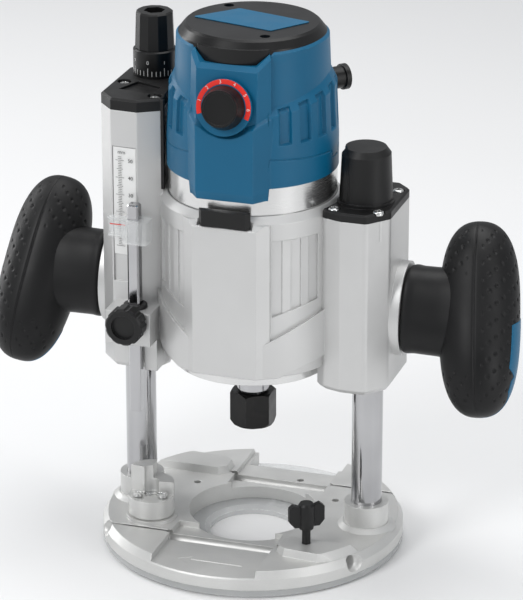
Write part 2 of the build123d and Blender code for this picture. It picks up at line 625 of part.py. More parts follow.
def neck():
    inner = Plane(origin=(FLANGE_X, NECK_Y + 3, NECK_Z), x_dir=(0, 1, 0), z_dir=(1, 0, 0))
    outer = Plane(origin=(124.0, NECK_Y + 6, NECK_Z - 1), x_dir=(0, 1, 0), z_dir=(1, 0, 0))
    return loft([inner * (Rot(0, 0, -14) * Ellipse(NECK_D, NECK_H)),
                 outer * (Rot(0, 0, -24) * Ellipse(NECK_D + 1, NECK_H + 5))])


def handle_core():
    """Moulded neck and front half of the grip."""
    body = grip_blank() - seam_block(SEAM_DEPTH)
    body += neck() - seam_block(SEAM_DEPTH)
    for x, y, z in handle_bolt_places()[:2]:
        body -= cyl_x(3.02, FLANGE_X - 1, FLANGE_X + 22, y, z)
        body -= cyl_x(5.6, FLANGE_X + 14, 124, y, z)
    return body


def rear_shell():
    return grip_blank() & seam_block(SEAM_DEPTH + 0.05)


def handle_bolt_places():
    spots = [(FLANGE_X, NECK_Y + 3 + dy, NECK_Z + dz) for dy, dz in ((2.5, 12), (-2.5, -12))]
    return spots + [(-x, y, z) for x, y, z in spots]


def handle_bolts():
    made = []
    for x, y, z in handle_bolt_places():
        side = 1 if x > 0 else -1
        bolt = cyl_x(2.98, 0.93 * FLANGE_X, FLANGE_X + 15, y, z) + cyl_x(5.2, FLANGE_X + 14.05, FLANGE_X + 19, y, z)
        bolt -= Pos(FLANGE_X + 19, y, z) * Rot(0, 90, 0) * hexagon(5.0, -3, 1)
        made.append(bolt if side > 0 else flipped(bolt))
    return made


def trigger():
    place = grip_plane(TRIGGER_T)
    body = place * (Rot(0, 0, SEAM_TURN) * Pos(0, 19.5, 0) * Box(TRIGGER_WIDE, 11.0, TRIGGER_LONG))
    return fillet(body.edges(), 2.0)


def button_place():
    return grip_plane(BUTTON_T)


def lock_button():
    body = button_place() * (Rot(0, 0, SEAM_TURN) * Pos(0, 19.0, 0) * Rot(90, 0, 0) * Cylinder(BUTTON_R, 9.0))
    return body


def right_rear_shell():
    body = rear_shell()
    place = grip_plane(TRIGGER_T)
    body -= place * (Rot(0, 0, SEAM_TURN) * Pos(0, 20.3, 0) * Box(TRIGGER_WIDE + 0.6, 21.4, TRIGGER_LONG + 0.6))
    body -= button_place() * (Rot(0, 0, SEAM_TURN) * Pos(0, 20.5, 0) * Rot(90, 0, 0) * Cylinder(BUTTON_R + GAP, 21.0))
    return body


# ---------------------------------------------------------------- levers behind

def lock_lever():
    """Plunge-lock lever behind the left tower, on the screw that grips the column."""
    hub = cyl_y(8.0, 44.4, 54, LOCK_X, LOCK_Z)
    arm = side_prism([(LOCK_X - 6, LOCK_Z), (LOCK_X - 4.5, LOCK_Z - 42), (LOCK_X + 4.5, LOCK_Z - 42),
                      (LOCK_X + 6, LOCK_Z)], 47, 53)
    tip = cyl_y(6.0, 46, 56, LOCK_X, LOCK_Z - 42)
    return hub + arm + tip + cyl_y(LOCK_SCREW_R, COLUMN_R + 2.2, 45, LOCK_X, LOCK_Z)


def motor_clamp_bolt():
    return cyl_x(3.0, -18, 18, MOTOR_LEVER_Y, MOTOR_LEVER_Z) + cyl_x(5.5, 14.05, 18, MOTOR_LEVER_Y, MOTOR_LEVER_Z)


def motor_clamp_lever():
    """Cam lever that squeezes the ears round the motor."""
    hub = cyl_x(7.0, -25, -18.4, MOTOR_LEVER_Y, MOTOR_LEVER_Z)
    arm = block(-24.5, -19, MOTOR_LEVER_Y - 4, MOTOR_LEVER_Y + 4, MOTOR_LEVER_Z - 40, MOTOR_LEVER_Z)
    return hub + arm


def latch_seat():
    return block(-LATCH_HALF - GAP, LATCH_HALF + GAP, -60, -MOTOR_R - 1, LATCH_LOW - 0.5, BARREL_TOP + 12)


def front_latch():
    """Tab of the motor latch at the front rim."""
    back, face = -MOTOR_R - 2, FRONT_Y - 1.5
    plan = [(-LATCH_HALF, back), (-LATCH_HALF + 3, face), (LATCH_HALF - 3, face), (LATCH_HALF, back)]
    return prism(plan, LATCH_LOW, LATCH_HIGH, 0.8)


# ---------------------------------------------------------------- motor

def motor_barrel():
    body = turned([(0, MOTOR_BOTTOM), (MOTOR_R - 2.5, MOTOR_BOTTOM), (MOTOR_R - 2.5, MOTOR_BOTTOM + 4),
                   (MOTOR_R, MOTOR_BOTTOM + 5), (MOTOR_R, RING_TOP), (0, RING_TOP)])
    body -= cyl(MOTOR_R - 4.0, MOTOR_BOTTOM + 8, RING_TOP + 1)
    body -= cyl(LOWER_BEARING_R, MOTOR_BOTTOM + 3, RING_TOP)
    return body - cyl(SPINDLE_R + 3, 0, 200)


def bearing_cover():
    z1 = MOTOR_BOTTOM - 0.05
    body = turned([(SPINDLE_R + 0.6, z1 - 3), (22, z1 - 3), (27, z1), (SPINDLE_R + 0.6, z1)])
    return body


def bearing(r, bore, z0, t):
    """Deep-groove bearing: inner and outer rings with balls between."""
    middle = (r + bore) / 2
    ball = min((r - bore) * 0.28, t * 0.34)
    race = (r - bore) * 0.28
    outer = ring(r, r - race, z0, z0 + t)
    inner = ring(bore + race, bore, z0, z0 + t)
    groove = Pos(0, 0, z0 + t / 2) * Torus(middle, ball + 0.02)
    balls = [Pos(middle * cos(a), middle * sin(a), z0 + t / 2) * Sphere(ball)
             for a in (radians(45 * n) for n in range(8))]
    return [outer - groove, inner - groove], balls


def shell_profile(inset):
    """Turned profile of the blue motor cover, inset by a wall from outside."""
    r = SHELL_R - inset
    top = SHELL_TOP if inset == 0 else SHELL_TOP + 1
    return [(0, RING_TOP), (r, RING_TOP), (r - 0.3, SEAM_Z), (r - 2.0, BAND_LOW), (r - 4.5, BAND_HIGH),
            (r - 6.3, top), (0, top)]


def motor_cover():
    """Blue shell over the top of the motor, with its front panel and vents."""
    body = turned(shell_profile(0))
    ledge, back = SHELL_TOP - 41, PANEL_Y + 22.5
    side = Polygon((PANEL_Y + 0.5, PANEL_FOOT), (PANEL_Y, PANEL_FOOT + 5), (PANEL_Y + 0.6, ledge),
                   (PANEL_Y + 4.5, ledge + 2), (PANEL_Y + 9, SHELL_TOP - 4), (back, SHELL_TOP - 4),
                   (back, PANEL_FOOT), align=None)
    panel = extrude(Plane.YZ.offset(-PANEL_HALF) * side, 2 * PANEL_HALF, dir=(1, 0, 0))
    panel = chamfer(panel.edges().filter_by(Axis.Z).group_by(Axis.Y)[0], 2.0)
    body += panel - cyl(MOTOR_R + 0.05, 0, RING_TOP)
    inner = turned(shell_profile(SHELL_WALL))
    body -= inner
    for n in range(6):
        for side in (-1, 1):
            angle = side * (VENT_ANGLE + VENT_STEP * n)
            r = SHELL_R - 3
            slot = Pos(r * sin(radians(angle)), -r * cos(radians(angle)), VENT_Z) * Rot(0, 0, angle)
            body -= slot * Box(5, 8, 16)
    seat = dial_plane() * Cylinder(DIAL_SPINDLE_R + 0.3, 60)
    body -= prism(LIP_CUT, LIP_Z - 0.1, 400)
    body -= seat & block(-10, 10, PANEL_Y - 8, PANEL_Y + 22, DIAL_Z - 22, DIAL_Z + 18)
    return body - cyl(GLAND_R, 0, 60).moved(gland_location())


def dial_plane():
    tilt = radians(DIAL_TILT)
    return Plane(origin=(0, DIAL_Y, DIAL_Z), x_dir=(1, 0, 0), z_dir=(0, -cos(tilt), sin(tilt)))


def dial_bezel():
    """Scale ring behind the speed dial."""
    plate = dial_plane() * (Pos(0, 0, 0.5) * Cylinder(BEZEL_R, 2.6))
    return plate - dial_plane() * Cylinder(DIAL_SPINDLE_R + 0.3, 60)


def speed_dial():
    body = Pos(0, 0, 5.4) * Cone(DIAL_R, 10.4, 6.4)
    body += Pos(0, 0, 8.9) * Cylinder(10.4, 1.2)
    body += Pos(0, 0, -3) * Cylinder(DIAL_SPINDLE_R, 13)
    body -= Pos(0, 0, 9.6) * Cylinder(9.2, 0.8)
    return dial_plane() * body


def gland_location():
    away = Vector(sin(radians(GLAND_ANGLE)), cos(radians(GLAND_ANGLE)), 0)
    return Plane(origin=away * GLAND_IN + Vector(0, 0, GLAND_Z), z_dir=away).location


def cord_gland():
    """Short sleeve where the mains lead would enter."""
    body = Cylinder(GLAND_R - 0.05, 20, align=(Align.CENTER, Align.CENTER, Align.MIN))
    body = Pos(0, 0, 6) * body + Pos(0, 0, 26) * Cylinder(GLAND_R + 1, 3, align=(Align.CENTER, Align.CENTER, Align.MAX))
    body -= Pos(0, 0, 18) * Cylinder(3.8, 40)
    return body.moved(gland_location())


def top_cap():
    z0 = SHELL_TOP + 0.05
    body = turned([(0, z0), (42.4, z0), (42.0, z0 + 2.5), (39.0, CAP_TOP - 1.2), (37.5, CAP_TOP), (0, CAP_TOP)])
    body -= turned([(0, z0 - 1), (38, z0 - 1), (37, CAP_TOP - 3.0), (0, CAP_TOP - 3.0)])
    lip = prism(LIP, LIP_Z, z0 + 3)
    lip &= cyl(42.6, LIP_Z - 4, CAP_TOP + 2)
    body += lip
    for x, y in TOP_SCREWS:
        body -= cyl(3.0, 0, 400, x, y)
        body += ring(4.6, 2.2, z0, CAP_TOP - 2, x, y)
    return body


def top_screws():
    made = []
    for x, y in TOP_SCREWS:
        screw = cyl(2.1, SHELL_TOP - 14, SHELL_TOP + 6, x, y)
        made.append(screw - Pos(x, y, SHELL_TOP + 6) * (Box(3, 0.7, 1.6) + Box(0.7, 3, 1.6)))
    return made


def cap_label():
    return prism(LABEL, CAP_TOP + 0.02, CAP_TOP + 0.42, 1.0)


def stator_core():
    """Laminated stator with two pole shoes."""
    body = ring(MOTOR_R - 4.2, STATOR_BORE, STATOR_LOW, STATOR_HIGH)
    for side in (-1, 1):
        body -= block(-15, 15, side * POLE_Y - 4.5, side * POLE_Y + 4.5, STATOR_LOW - 1, STATOR_HIGH + 1)
    return body


def field_windings():
    made = []
    for side in (-1, 1):
        for z0 in (STATOR_LOW - 8, STATOR_HIGH + 0.2):
            coil = block(-14, 14, side * POLE_Y - 4, side * POLE_Y + 4, z0, z0 + 7.5)
            made.append(fillet(coil.edges().filter_by(Axis.Z), 2.5))
    return made


def brush_holders():
    made = []
    middle, z0 = COMMUTATOR_R + 12, RING_TOP - 16
    for side in (-1, 1):
        x = side * middle
        holder = block(x - 12, x + 12, -5, 5, z0, z0 + 12)
        made.append(holder - block(x - 13, x + 13, -3.3, 3.3, z0 + 2, z0 + 10))
    return made


def carbon_brushes():
    x, z0 = COMMUTATOR_R + 7.5, RING_TOP - 13.8
    return [block(side * x - 7.0, side * x + 7.0, -3.1, 3.1, z0, z0 + 7.6) for side in (-1, 1)]


def upper_bearing_seat():
    seat = ring(UPPER_BEARING_R + 4, UPPER_BEARING_R, UPPER_BEARING_Z - 2, UPPER_BEARING_Z + UPPER_BEARING_T + 3)
    for side in (-1, 1):
        outer, top = side * (SHELL_R - 5), UPPER_BEARING_Z + 6
        seat += block(*sorted((side * (UPPER_BEARING_R + 2), outer)), -5, 5, UPPER_BEARING_Z - 2, top)
        seat += block(*sorted((side * (SHELL_R - 11), outer)), -8, 8, RING_TOP + 0.1, top)
    return seat


def speed_control_board():
    return block(-16, 16, PANEL_Y + 14.5, PANEL_Y + 16.5, DIAL_Z - 26, DIAL_Z + 6)


def spindle():
    """Armature shaft: collet taper below, journals for both bearings above."""
    body = turned([(0, NUT_BOTTOM + 8), (SPINDLE_R - 2, NUT_BOTTOM + 8), (SPINDLE_R - 2, NUT_TOP + 0.3),
                   (SPINDLE_R, NUT_TOP + 1.5), (SPINDLE_R, MOTOR_BOTTOM + 3.2), (SPINDLE_R - 0.5, MOTOR_BOTTOM + 3.2),
                   (SPINDLE_R - 0.5, MOTOR_BOTTOM + 18), (SHAFT_R, MOTOR_BOTTOM + 20), (SHAFT_R, UPPER_BEARING_Z - 1),
                   (4.0, UPPER_BEARING_Z - 1), (4.0, UPPER_BEARING_Z + UPPER_BEARING_T + 1),
                   (0, UPPER_BEARING_Z + UPPER_BEARING_T + 1)])
    socket = turned([(0, NUT_BOTTOM + 7), (COLLET_R + 1.1, NUT_BOTTOM + 7), (COLLET_R + 0.2, NUT_BOTTOM + 36), (0, NUT_BOTTOM + 38)])
    return body - socket


def collet():
    """Split collet with its tapered nose."""
    z0, z1 = NUT_BOTTOM + 1.5, NUT_BOTTOM + 26
    body = turned([(COLLET_R, z0), (COLLET_R + 2.6, z0), (COLLET_R + 2.6, NUT_BOTTOM + 6.5),
                   (COLLET_R + 0.9, NUT_BOTTOM + 8), (COLLET_R + 0.5, z1), (COLLET_R, z1)])
    for n in range(3):
        body -= Rot(0, 0, 60 * n) * block(COLLET_R - 1, COLLET_R + 5, -0.4, 0.4, z0 - 1, z1 - 4)
    return body


def collet_nut():
    nut = hexagon(NUT_AF, NUT_BOTTOM, NUT_TOP)
    corner = NUT_AF / sqrt(3)
    nut &= turned([(0, NUT_BOTTOM), (corner - 1.6, NUT_BOTTOM), (corner + 0.1, NUT_BOTTOM + 2.6),
                   (corner + 0.1, NUT_TOP - 1.2), (corner - 1.6, NUT_TOP), (0, NUT_TOP)])
    nut -= cyl(SPINDLE_R - 1.95, NUT_BOTTOM + 7.9, NUT_TOP + 1)
    nut -= cyl(COLLET_R + 2.7, NUT_BOTTOM + 1.4, NUT_BOTTOM + 8)
    return nut - cyl(COLLET_R + 1.2, 0, NUT_TOP)


def on_shaft(r, z0, z1):
    return ring(r, SHAFT_R + 0.02, z0, z1)


def armature_core():
    body = on_shaft(ARMATURE_R, STATOR_LOW, STATOR_HIGH)
    middle = (STATOR_LOW + STATOR_HIGH) / 2
    for n in range(12):
        body -= Rot(0, 0, 30 * n) * (Pos(ARMATURE_R - 1.9, 0, middle) * Box(6, 2.4, 60))
    return body


def armature_windings():
    return [on_shaft(20, STATOR_LOW - 8, STATOR_LOW - 0.2), on_shaft(20, STATOR_HIGH + 0.2, STATOR_HIGH + 8)]


def commutator():
    body = on_shaft(COMMUTATOR_R, RING_TOP - 18, RING_TOP - 2)
    for n in range(24):
        body -= Rot(0, 0, 15 * n) * (Pos(COMMUTATOR_R - 0.4, 0, RING_TOP - 10) * Box(1.6, 0.5, 20))
    return body


def cooling_fan():
    hub = on_shaft(12, FAN_LOW, FAN_HIGH) + on_shaft(FAN_R, FAN_LOW, FAN_LOW + 2)
    for n in range(14):
        hub += Rot(0, 0, 360 / 14 * n) * (Pos(FAN_R - 13, 0, FAN_LOW + 5.5) * Rot(0, 0, 20) * Box(24, 1.6, 9))
    return hub & on_shaft(FAN_R, FAN_LOW, FAN_HIGH)


def main():
    save("base_casting", base_casting())
    save("sole_plate", sole_plate())
    save("sole_plate_screws", *sole_plate_screws())
    save("left_column", column(-1))
    save("right_column", column(1))
    save("column_bolts", *column_bolts())
    save("turret", turret())
    save("turret_adjusting_screws", *turret_adjusting_screws())
    save("turret_pivot_screw", turret_pivot_screw())
    save("wing_screw", wing_screw())

    save("plunge_housing", plunge_housing() - clamp_slit()
         - cyl_x(3.1, -14.5, 14.5, MOTOR_LEVER_Y, MOTOR_LEVER_Z))
    save("column_bushings", *column_bushings())
    save("left_tower_cap", left_tower_cap())
    save("left_cap_screws", *cap_screws(LEFT_SCREWS, LEFT_TOP + CAP_T - 3))
    save("right_tower_cap", right_tower_cap())
    save("right_cap_screws", *cap_screws(RIGHT_SCREWS, RIGHT_TOP + PLATE_T - CAP_SCREW_SINK))
    save("depth_scale", depth_scale())
    save("rod_seal_ring", rod_seal_ring())
    save("plunge_springs", plunge_spring(-1, LEFT_TOP), plunge_spring(1, DOME_TOP - 6))
    save("stop_rod", stop_rod())
    save("depth_cursor", depth_cursor())
    save("clamp_knob", clamp_knob())
    save("fine_adjust_scale", fine_adjust_scale())
    save("fine_adjust_knob", fine_adjust_knob())
    save("fine_adjust_screw", fine_adjust_screw())
    save("plunge_lock_lever", lock_lever())
    save("motor_clamp_bolt", motor_clamp_bolt())
    save("motor_clamp_lever", motor_clamp_lever())
    save("front_latch", front_latch())

    save("right_handle", handle_core())
    save("left_handle", flipped(handle_core()))
    save("right_rear_shell", right_rear_shell())
    save("left_rear_shell", flipped(rear_shell()))
    save("handle_bolts", *handle_bolts())
    save("trigger", trigger())
    save("lock_button", lock_button())

    save("motor_barrel", motor_barrel())
    save("bearing_cover", bearing_cover())
    lower = bearing(LOWER_BEARING_R, SPINDLE_R - 0.5, MOTOR_BOTTOM + 3.2, LOWER_BEARING_T)
    upper = bearing(UPPER_BEARING_R, 4.0, UPPER_BEARING_Z, UPPER_BEARING_T)
    save("lower_bearing", *lower[0], *lower[1])
    save("upper_bearing", *upper[0], *upper[1])
    save("upper_bearing_seat", upper_bearing_seat())
    save("motor_cover", motor_cover())
    save("top_cap", top_cap())
    save("top_screws", *top_screws())
    save("cap_label", cap_label())
    save("dial_bezel", dial_bezel())
    save("speed_dial", speed_dial())
    save("speed_control_board", speed_control_board())
    save("cord_gland", cord_gland())
    save("stator_core", stator_core())
    save("field_windings", *field_windings())
    save("brush_holders", *brush_holders())
    save("carbon_brushes", *carbon_brushes())
    save("spindle", spindle())
    save("collet", collet())
    save("collet_nut", collet_nut())
    save("armature_core", armature_core())
    save("armature_windings", *armature_windings())
    save("commutator", commutator())
    save("cooling_fan", cooling_fan())
    print(len(written), "nodes")


main()
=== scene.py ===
"""Looks for the plunge router: finishes for the engineered parts, finer surfaces for
the moulded ones, a pale floor, soft lights and the camera."""
import math

import bpy
import numpy as np
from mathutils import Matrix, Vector


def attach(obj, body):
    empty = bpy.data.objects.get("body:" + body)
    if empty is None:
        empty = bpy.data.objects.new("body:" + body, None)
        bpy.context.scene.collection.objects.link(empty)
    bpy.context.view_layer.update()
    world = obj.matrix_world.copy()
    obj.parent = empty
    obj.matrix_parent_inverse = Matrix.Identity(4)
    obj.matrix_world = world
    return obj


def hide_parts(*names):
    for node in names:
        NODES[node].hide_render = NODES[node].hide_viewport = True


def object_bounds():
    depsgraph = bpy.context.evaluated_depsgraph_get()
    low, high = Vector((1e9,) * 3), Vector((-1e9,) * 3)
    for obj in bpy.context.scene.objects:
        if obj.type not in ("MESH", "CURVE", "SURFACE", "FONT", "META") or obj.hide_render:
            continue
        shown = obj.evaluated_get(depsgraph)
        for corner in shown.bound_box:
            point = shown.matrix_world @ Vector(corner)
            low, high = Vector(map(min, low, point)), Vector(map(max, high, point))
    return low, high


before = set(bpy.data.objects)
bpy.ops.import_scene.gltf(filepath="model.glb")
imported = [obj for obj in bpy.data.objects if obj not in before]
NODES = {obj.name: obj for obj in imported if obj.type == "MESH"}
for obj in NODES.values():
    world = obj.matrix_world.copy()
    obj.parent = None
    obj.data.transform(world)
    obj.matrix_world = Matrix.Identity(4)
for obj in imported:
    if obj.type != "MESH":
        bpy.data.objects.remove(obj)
CAD_BOX = [list(corner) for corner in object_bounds()]
MM = 0.001
MM_PER_M = 1000.0
SCENE = bpy.context.scene


# ------------------------------------------------------------------ node groups

def new_group(name, inputs, outputs):
    """An empty shader group with float inputs {name: default} and outputs {name: kind}."""
    group = bpy.data.node_groups.new(name, "ShaderNodeTree")
    for label, value in inputs.items():
        socket = group.interface.new_socket(label, in_out="INPUT", socket_type="NodeSocketFloat")
        socket.default_value = value
    for label, kind in outputs.items():
        group.interface.new_socket(label, in_out="OUTPUT", socket_type="NodeSocket" + kind)
    given = group.nodes.new("NodeGroupInput")
    result = group.nodes.new("NodeGroupOutput")
    return group, given.outputs, result.inputs


def feed(tree, socket, value):
    """Links a socket to another one, or sets it to a plain value."""
    if isinstance(value, bpy.types.NodeSocket):
        tree.links.new(value, socket)
    else:
        socket.default_value = value


def maths(tree, operation, *values, clamp=False):
    """A maths node over sockets or numbers; returns its output."""
    node = tree.nodes.new("ShaderNodeMath")
    node.operation, node.use_clamp = operation, clamp
    for socket, value in zip(node.inputs, values):
        feed(tree, socket, value)
    return node.outputs[0]


def vector_maths(tree, operation, *values):
    """A vector maths node; returns its number for a dot product, else its vector."""
    node = tree.nodes.new("ShaderNodeVectorMath")
    node.operation = operation
    for socket, value in zip(node.inputs, values):
        feed(tree, socket, value)
    return node.outputs["Value"] if operation == "DOT_PRODUCT" else node.outputs[0]


def spread(tree, value, low, high, to_low=0.0, to_high=1.0):
    """Maps low..high on to to_low..to_high, clamped."""
    node = tree.nodes.new("ShaderNodeMapRange")
    for label, item in (("Value", value), ("From Min", low), ("From Max", high),
                        ("To Min", to_low), ("To Max", to_high)):
        feed(tree, node.inputs[label], item)
    return node.outputs["Result"]


def noise(tree, vector, scale, detail=2.0, roughness=0.5):
    """A noise texture's value, 0 to 1."""
    node = tree.nodes.new("ShaderNodeTexNoise")
    feed(tree, node.inputs["Vector"], vector)
    feed(tree, node.inputs["Scale"], scale)
    node.inputs["Detail"].default_value = detail
    node.inputs["Roughness"].default_value = roughness
    return node.outputs["Fac"]


def place(tree):
    """Object coordinates, in metres."""
    return tree.nodes.new("ShaderNodeTexCoord").outputs["Object"]


def along(tree, vector, scales):
    """The coordinates with each axis multiplied by its own number."""
    return vector_maths(tree, "MULTIPLY", vector, scales)


def make_grain():
    """Fine grain and broad patches: noise at the grain's size in mm, and at a patch size."""
    group, given, result = new_group(
        "grain", {"Grain mm": 0.3, "Patch mm": 30.0}, {"Grain": "Float", "Patches": "Float",
                                                       "Height": "Float"})
    here = place(group)
    fine = noise(group, here, maths(group, "DIVIDE", MM_PER_M, given["Grain mm"]), 3.0, 0.6)
    broad = noise(group, here, maths(group, "DIVIDE", MM_PER_M, given["Patch mm"]), 2.0, 0.55)
    feed(group, result["Grain"], fine)
    feed(group, result["Patches"], spread(group, broad, 0.3, 0.7))
    feed(group, result["Height"], fine)
    return group


def make_edges():
    """Where a surface turns a corner: one minus the cosine between the true normal and
    the normal rounded over the radius, broken up by noise. Also the rounded normal."""
    group, given, result = new_group(
        "edges", {"Radius mm": 0.6, "Gain": 6.0, "Break-up mm": 4.0},
        {"Wear": "Float", "Normal": "Vector"})
    bevel = group.nodes.new("ShaderNodeBevel")
    bevel.samples = 4
    feed(group, bevel.inputs["Radius"], maths(group, "MULTIPLY", given["Radius mm"], MM))
    true_normal = group.nodes.new("ShaderNodeNewGeometry").outputs["Normal"]
    cosine = vector_maths(group, "DOT_PRODUCT", bevel.outputs["Normal"], true_normal)
    turn = maths(group, "MULTIPLY", maths(group, "SUBTRACT", 1.0, cosine), given["Gain"], clamp=True)
    broken = noise(group, place(group), maths(group, "DIVIDE", MM_PER_M, given["Break-up mm"]), 4.0, 0.7)
    feed(group, result["Wear"], maths(group, "MULTIPLY", turn, spread(group, broken, 0.42, 0.62),
                                      clamp=True))
    feed(group, result["Normal"], bevel.outputs["Normal"])
    return group


def make_dust():
    """Dust on what faces up: the normal's height, softened, times a patchy noise."""
    group, given, result = new_group("dust", {"Amount": 0.2, "Patch mm": 12.0}, {"Dust": "Float"})
    normal = group.nodes.new("ShaderNodeNewGeometry").outputs["Normal"]
    split = group.nodes.new("ShaderNodeSeparateXYZ")
    feed(group, split.inputs[0], normal)
    facing = spread(group, split.outputs["Z"], 0.35, 1.0)
    patchy = spread(group, noise(group, place(group),
                                 maths(group, "DIVIDE", MM_PER_M, given["Patch mm"]), 5.0, 0.65),
                    0.35, 0.75)
    feed(group, result["Dust"], maths(group, "MULTIPLY", maths(group, "MULTIPLY", facing, patchy),
                                      given["Amount"]))
    return group


def make_lathe_marks():
    """Fine rings round a ground or turned part: noise that changes only along the axis."""
    group, given, result = new_group("lathe_marks", {"Pitch mm": 0.2, "X": 0.0, "Y": 0.0, "Z": 1.0},
                                     {"Marks": "Float"})
    pick = group.nodes.new("ShaderNodeCombineXYZ")
    for axis in "XYZ":
        feed(group, pick.inputs[axis], given[axis])
    down = vector_maths(group, "MULTIPLY", place(group), pick.outputs[0])
    lines = noise(group, down, maths(group, "DIVIDE", MM_PER_M, given["Pitch mm"]), 2.0, 0.6)
    feed(group, result["Marks"], lines)
    return group


GRAIN, EDGES, DUST, LATHE = make_grain(), make_edges(), make_dust(), make_lathe_marks()


def use(tree, group, **values):
    """The group placed in a material, with its own values; returns its outputs."""
    node = tree.nodes.new("ShaderNodeGroup")
    node.node_tree = group
    for label, value in values.items():
        feed(tree, node.inputs[label.replace("_", " ")], value)
    return node.outputs


def blend_colours(tree, factor, first, second):
    """The first colour where the factor is 0, the second where it is 1."""
    node = tree.nodes.new("ShaderNodeMix")
    node.data_type = "RGBA"
    feed(tree, node.inputs[0], factor)
    feed(tree, node.inputs[6], (*first, 1.0) if isinstance(first, tuple) else first)
    feed(tree, node.inputs[7], (*second, 1.0) if isinstance(second, tuple) else second)
    return node.outputs[2]


def bump(tree, height, distance_mm, normal=None):
    """A normal bent by a height, on top of another normal where one is given."""
    node = tree.nodes.new("ShaderNodeBump")
    node.inputs["Strength"].default_value = 1.0
    node.inputs["Distance"].default_value = distance_mm * MM
    feed(tree, node.inputs["Height"], height)
    if normal is not None:
        feed(tree, node.inputs["Normal"], normal)
    return node.outputs["Normal"]


def bare_material(name, **shader_values):
    """A material with one Principled shader and these values on its own sockets."""
    material = bpy.data.materials.new(name)
    material.use_nodes = True
    tree = material.node_tree
    shader = tree.nodes["Principled BSDF"]
    for label, value in shader_values.items():
        shader.inputs[label.replace("_", " ")].default_value = value
    return material, tree, shader


DUST_COLOUR = (0.55, 0.53, 0.5)


def finish(name, light, dark, rough, grain_mm=0.3, grain_height=0.01, patch_mm=30.0,
           edge_mm=0.5, wear=None, wear_gain=6.0, dust=0.0, marks=None, speckle=0.35, **shader_values):
    """A worked finish: colour and roughness drift over patches and speckle over grain,
    corners are softly rounded and may be worn to another colour, dust may settle on top,
    and lathe marks may run round an axis."""
    material, tree, shader = bare_material(name, **shader_values)
    grain = use(tree, GRAIN, Grain_mm=grain_mm, Patch_mm=patch_mm)
    edges = use(tree, EDGES, Radius_mm=edge_mm, Gain=wear_gain)
    mixed = maths(tree, "ADD", maths(tree, "MULTIPLY", grain["Patches"], 1.0 - speckle),
                  maths(tree, "MULTIPLY", grain["Grain"], speckle), clamp=True)
    colour = blend_colours(tree, mixed, dark, light)
    roughness = spread(tree, mixed, 0.2, 0.8, rough[0], rough[1])
    if wear is not None:
        colour = blend_colours(tree, edges["Wear"], colour, wear)
    if dust:
        settled = use(tree, DUST, Amount=dust)
        colour = blend_colours(tree, settled["Dust"], colour, DUST_COLOUR)
        roughness = maths(tree, "ADD", roughness, maths(tree, "MULTIPLY", settled["Dust"], 0.4),
                          clamp=True)
    normal = bump(tree, grain["Height"], grain_height, edges["Normal"])
    if marks is not None:
        pitch, axis, depth = marks
        lines = use(tree, LATHE, Pitch_mm=pitch, X=axis[0], Y=axis[1], Z=axis[2])
        normal = bump(tree, lines["Marks"], depth, normal)
        roughness = maths(tree, "ADD", roughness,
                          spread(tree, lines["Marks"], 0.3, 0.7, -0.04, 0.04), clamp=True)
    feed(tree, shader.inputs["Base Color"], colour)
    feed(tree, shader.inputs["Roughness"], roughness)
    feed(tree, shader.inputs["Normal"], normal)
    return material


ALONG_Z = (0.0, 0.0, 1.0)

silver_coat = finish("silver_coat", (0.64, 0.64, 0.635), (0.56, 0.56, 0.555), (0.36, 0.46), 0.22,
                     0.012, 45, 0.7, wear=(0.72, 0.72, 0.72), dust=0.04, Metallic=0.6)
cast_metal = finish("cast_metal", (0.741, 0.741, 0.728), (0.572, 0.572, 0.559), (0.4, 0.52), 0.5,
                    0.05, 25, 0.6, wear=(0.7, 0.7, 0.69), dust=0.1, speckle=0.6, Metallic=0.65)
ground_steel = finish("ground_steel", (0.5, 0.5, 0.51), (0.42, 0.42, 0.43), (0.1, 0.18), 0.4, 0.001,
                      30, 0.4, marks=(0.12, ALONG_Z, 0.002), Metallic=1.0)
zinc_screw = finish("zinc_screw", (0.72, 0.72, 0.7), (0.55, 0.56, 0.57), (0.2, 0.34), 0.3, 0.004, 6,
                    0.25, wear=(0.85, 0.85, 0.84), Metallic=1.0)
oxide_steel = finish("oxide_steel", (0.035, 0.034, 0.033), (0.018, 0.018, 0.019), (0.3, 0.45), 0.3,
                     0.006, 9, 0.4, wear=(0.16, 0.155, 0.15), wear_gain=8, Metallic=0.85)
black_moulding = finish("black_moulding", (0.0063, 0.0063, 0.0065), (0.0036, 0.0036, 0.0038),
                        (0.36, 0.5), 0.35, 0.012, 25, 0.5, wear=(0.035, 0.035, 0.037), dust=0.02,
                        Metallic=0.0, Specular_IOR_Level=0.35)
black_gloss = finish("black_gloss", (0.0054, 0.0054, 0.0056), (0.0036, 0.0036, 0.0038),
                     (0.28, 0.38), 0.4, 0.002, 25, 0.4, wear=(0.03, 0.03, 0.03), Metallic=0.0,
                     Specular_IOR_Level=0.35)
grip_rubber = finish("grip_rubber", (0.0056, 0.0056, 0.0061), (0.0036, 0.0036, 0.004), (0.42, 0.56),
                     0.25, 0.01, 30, 0.6, wear=(0.025, 0.025, 0.026), dust=0.02, Metallic=0.0,
                     Specular_IOR_Level=0.3)
blue_moulding = finish("blue_moulding", (0.0015, 0.112, 0.225), (0.001, 0.095, 0.195), (0.36, 0.48),
                       0.3, 0.012, 40, 0.5, wear=(0.02, 0.2, 0.35), dust=0.03, Metallic=0.0,
                       Specular_IOR_Level=0.32)
turned_ring = finish("turned_ring", (0.72, 0.72, 0.715), (0.66, 0.66, 0.655), (0.2, 0.26), 0.5,
                     0.002, 40, 0.4, marks=(0.25, ALONG_Z, 0.004), Metallic=0.95)
white_print = finish("white_print", (0.86, 0.86, 0.85), (0.8, 0.8, 0.785), (0.4, 0.5), 0.5, 0.002,
                     12, 0.2, Metallic=0.0)
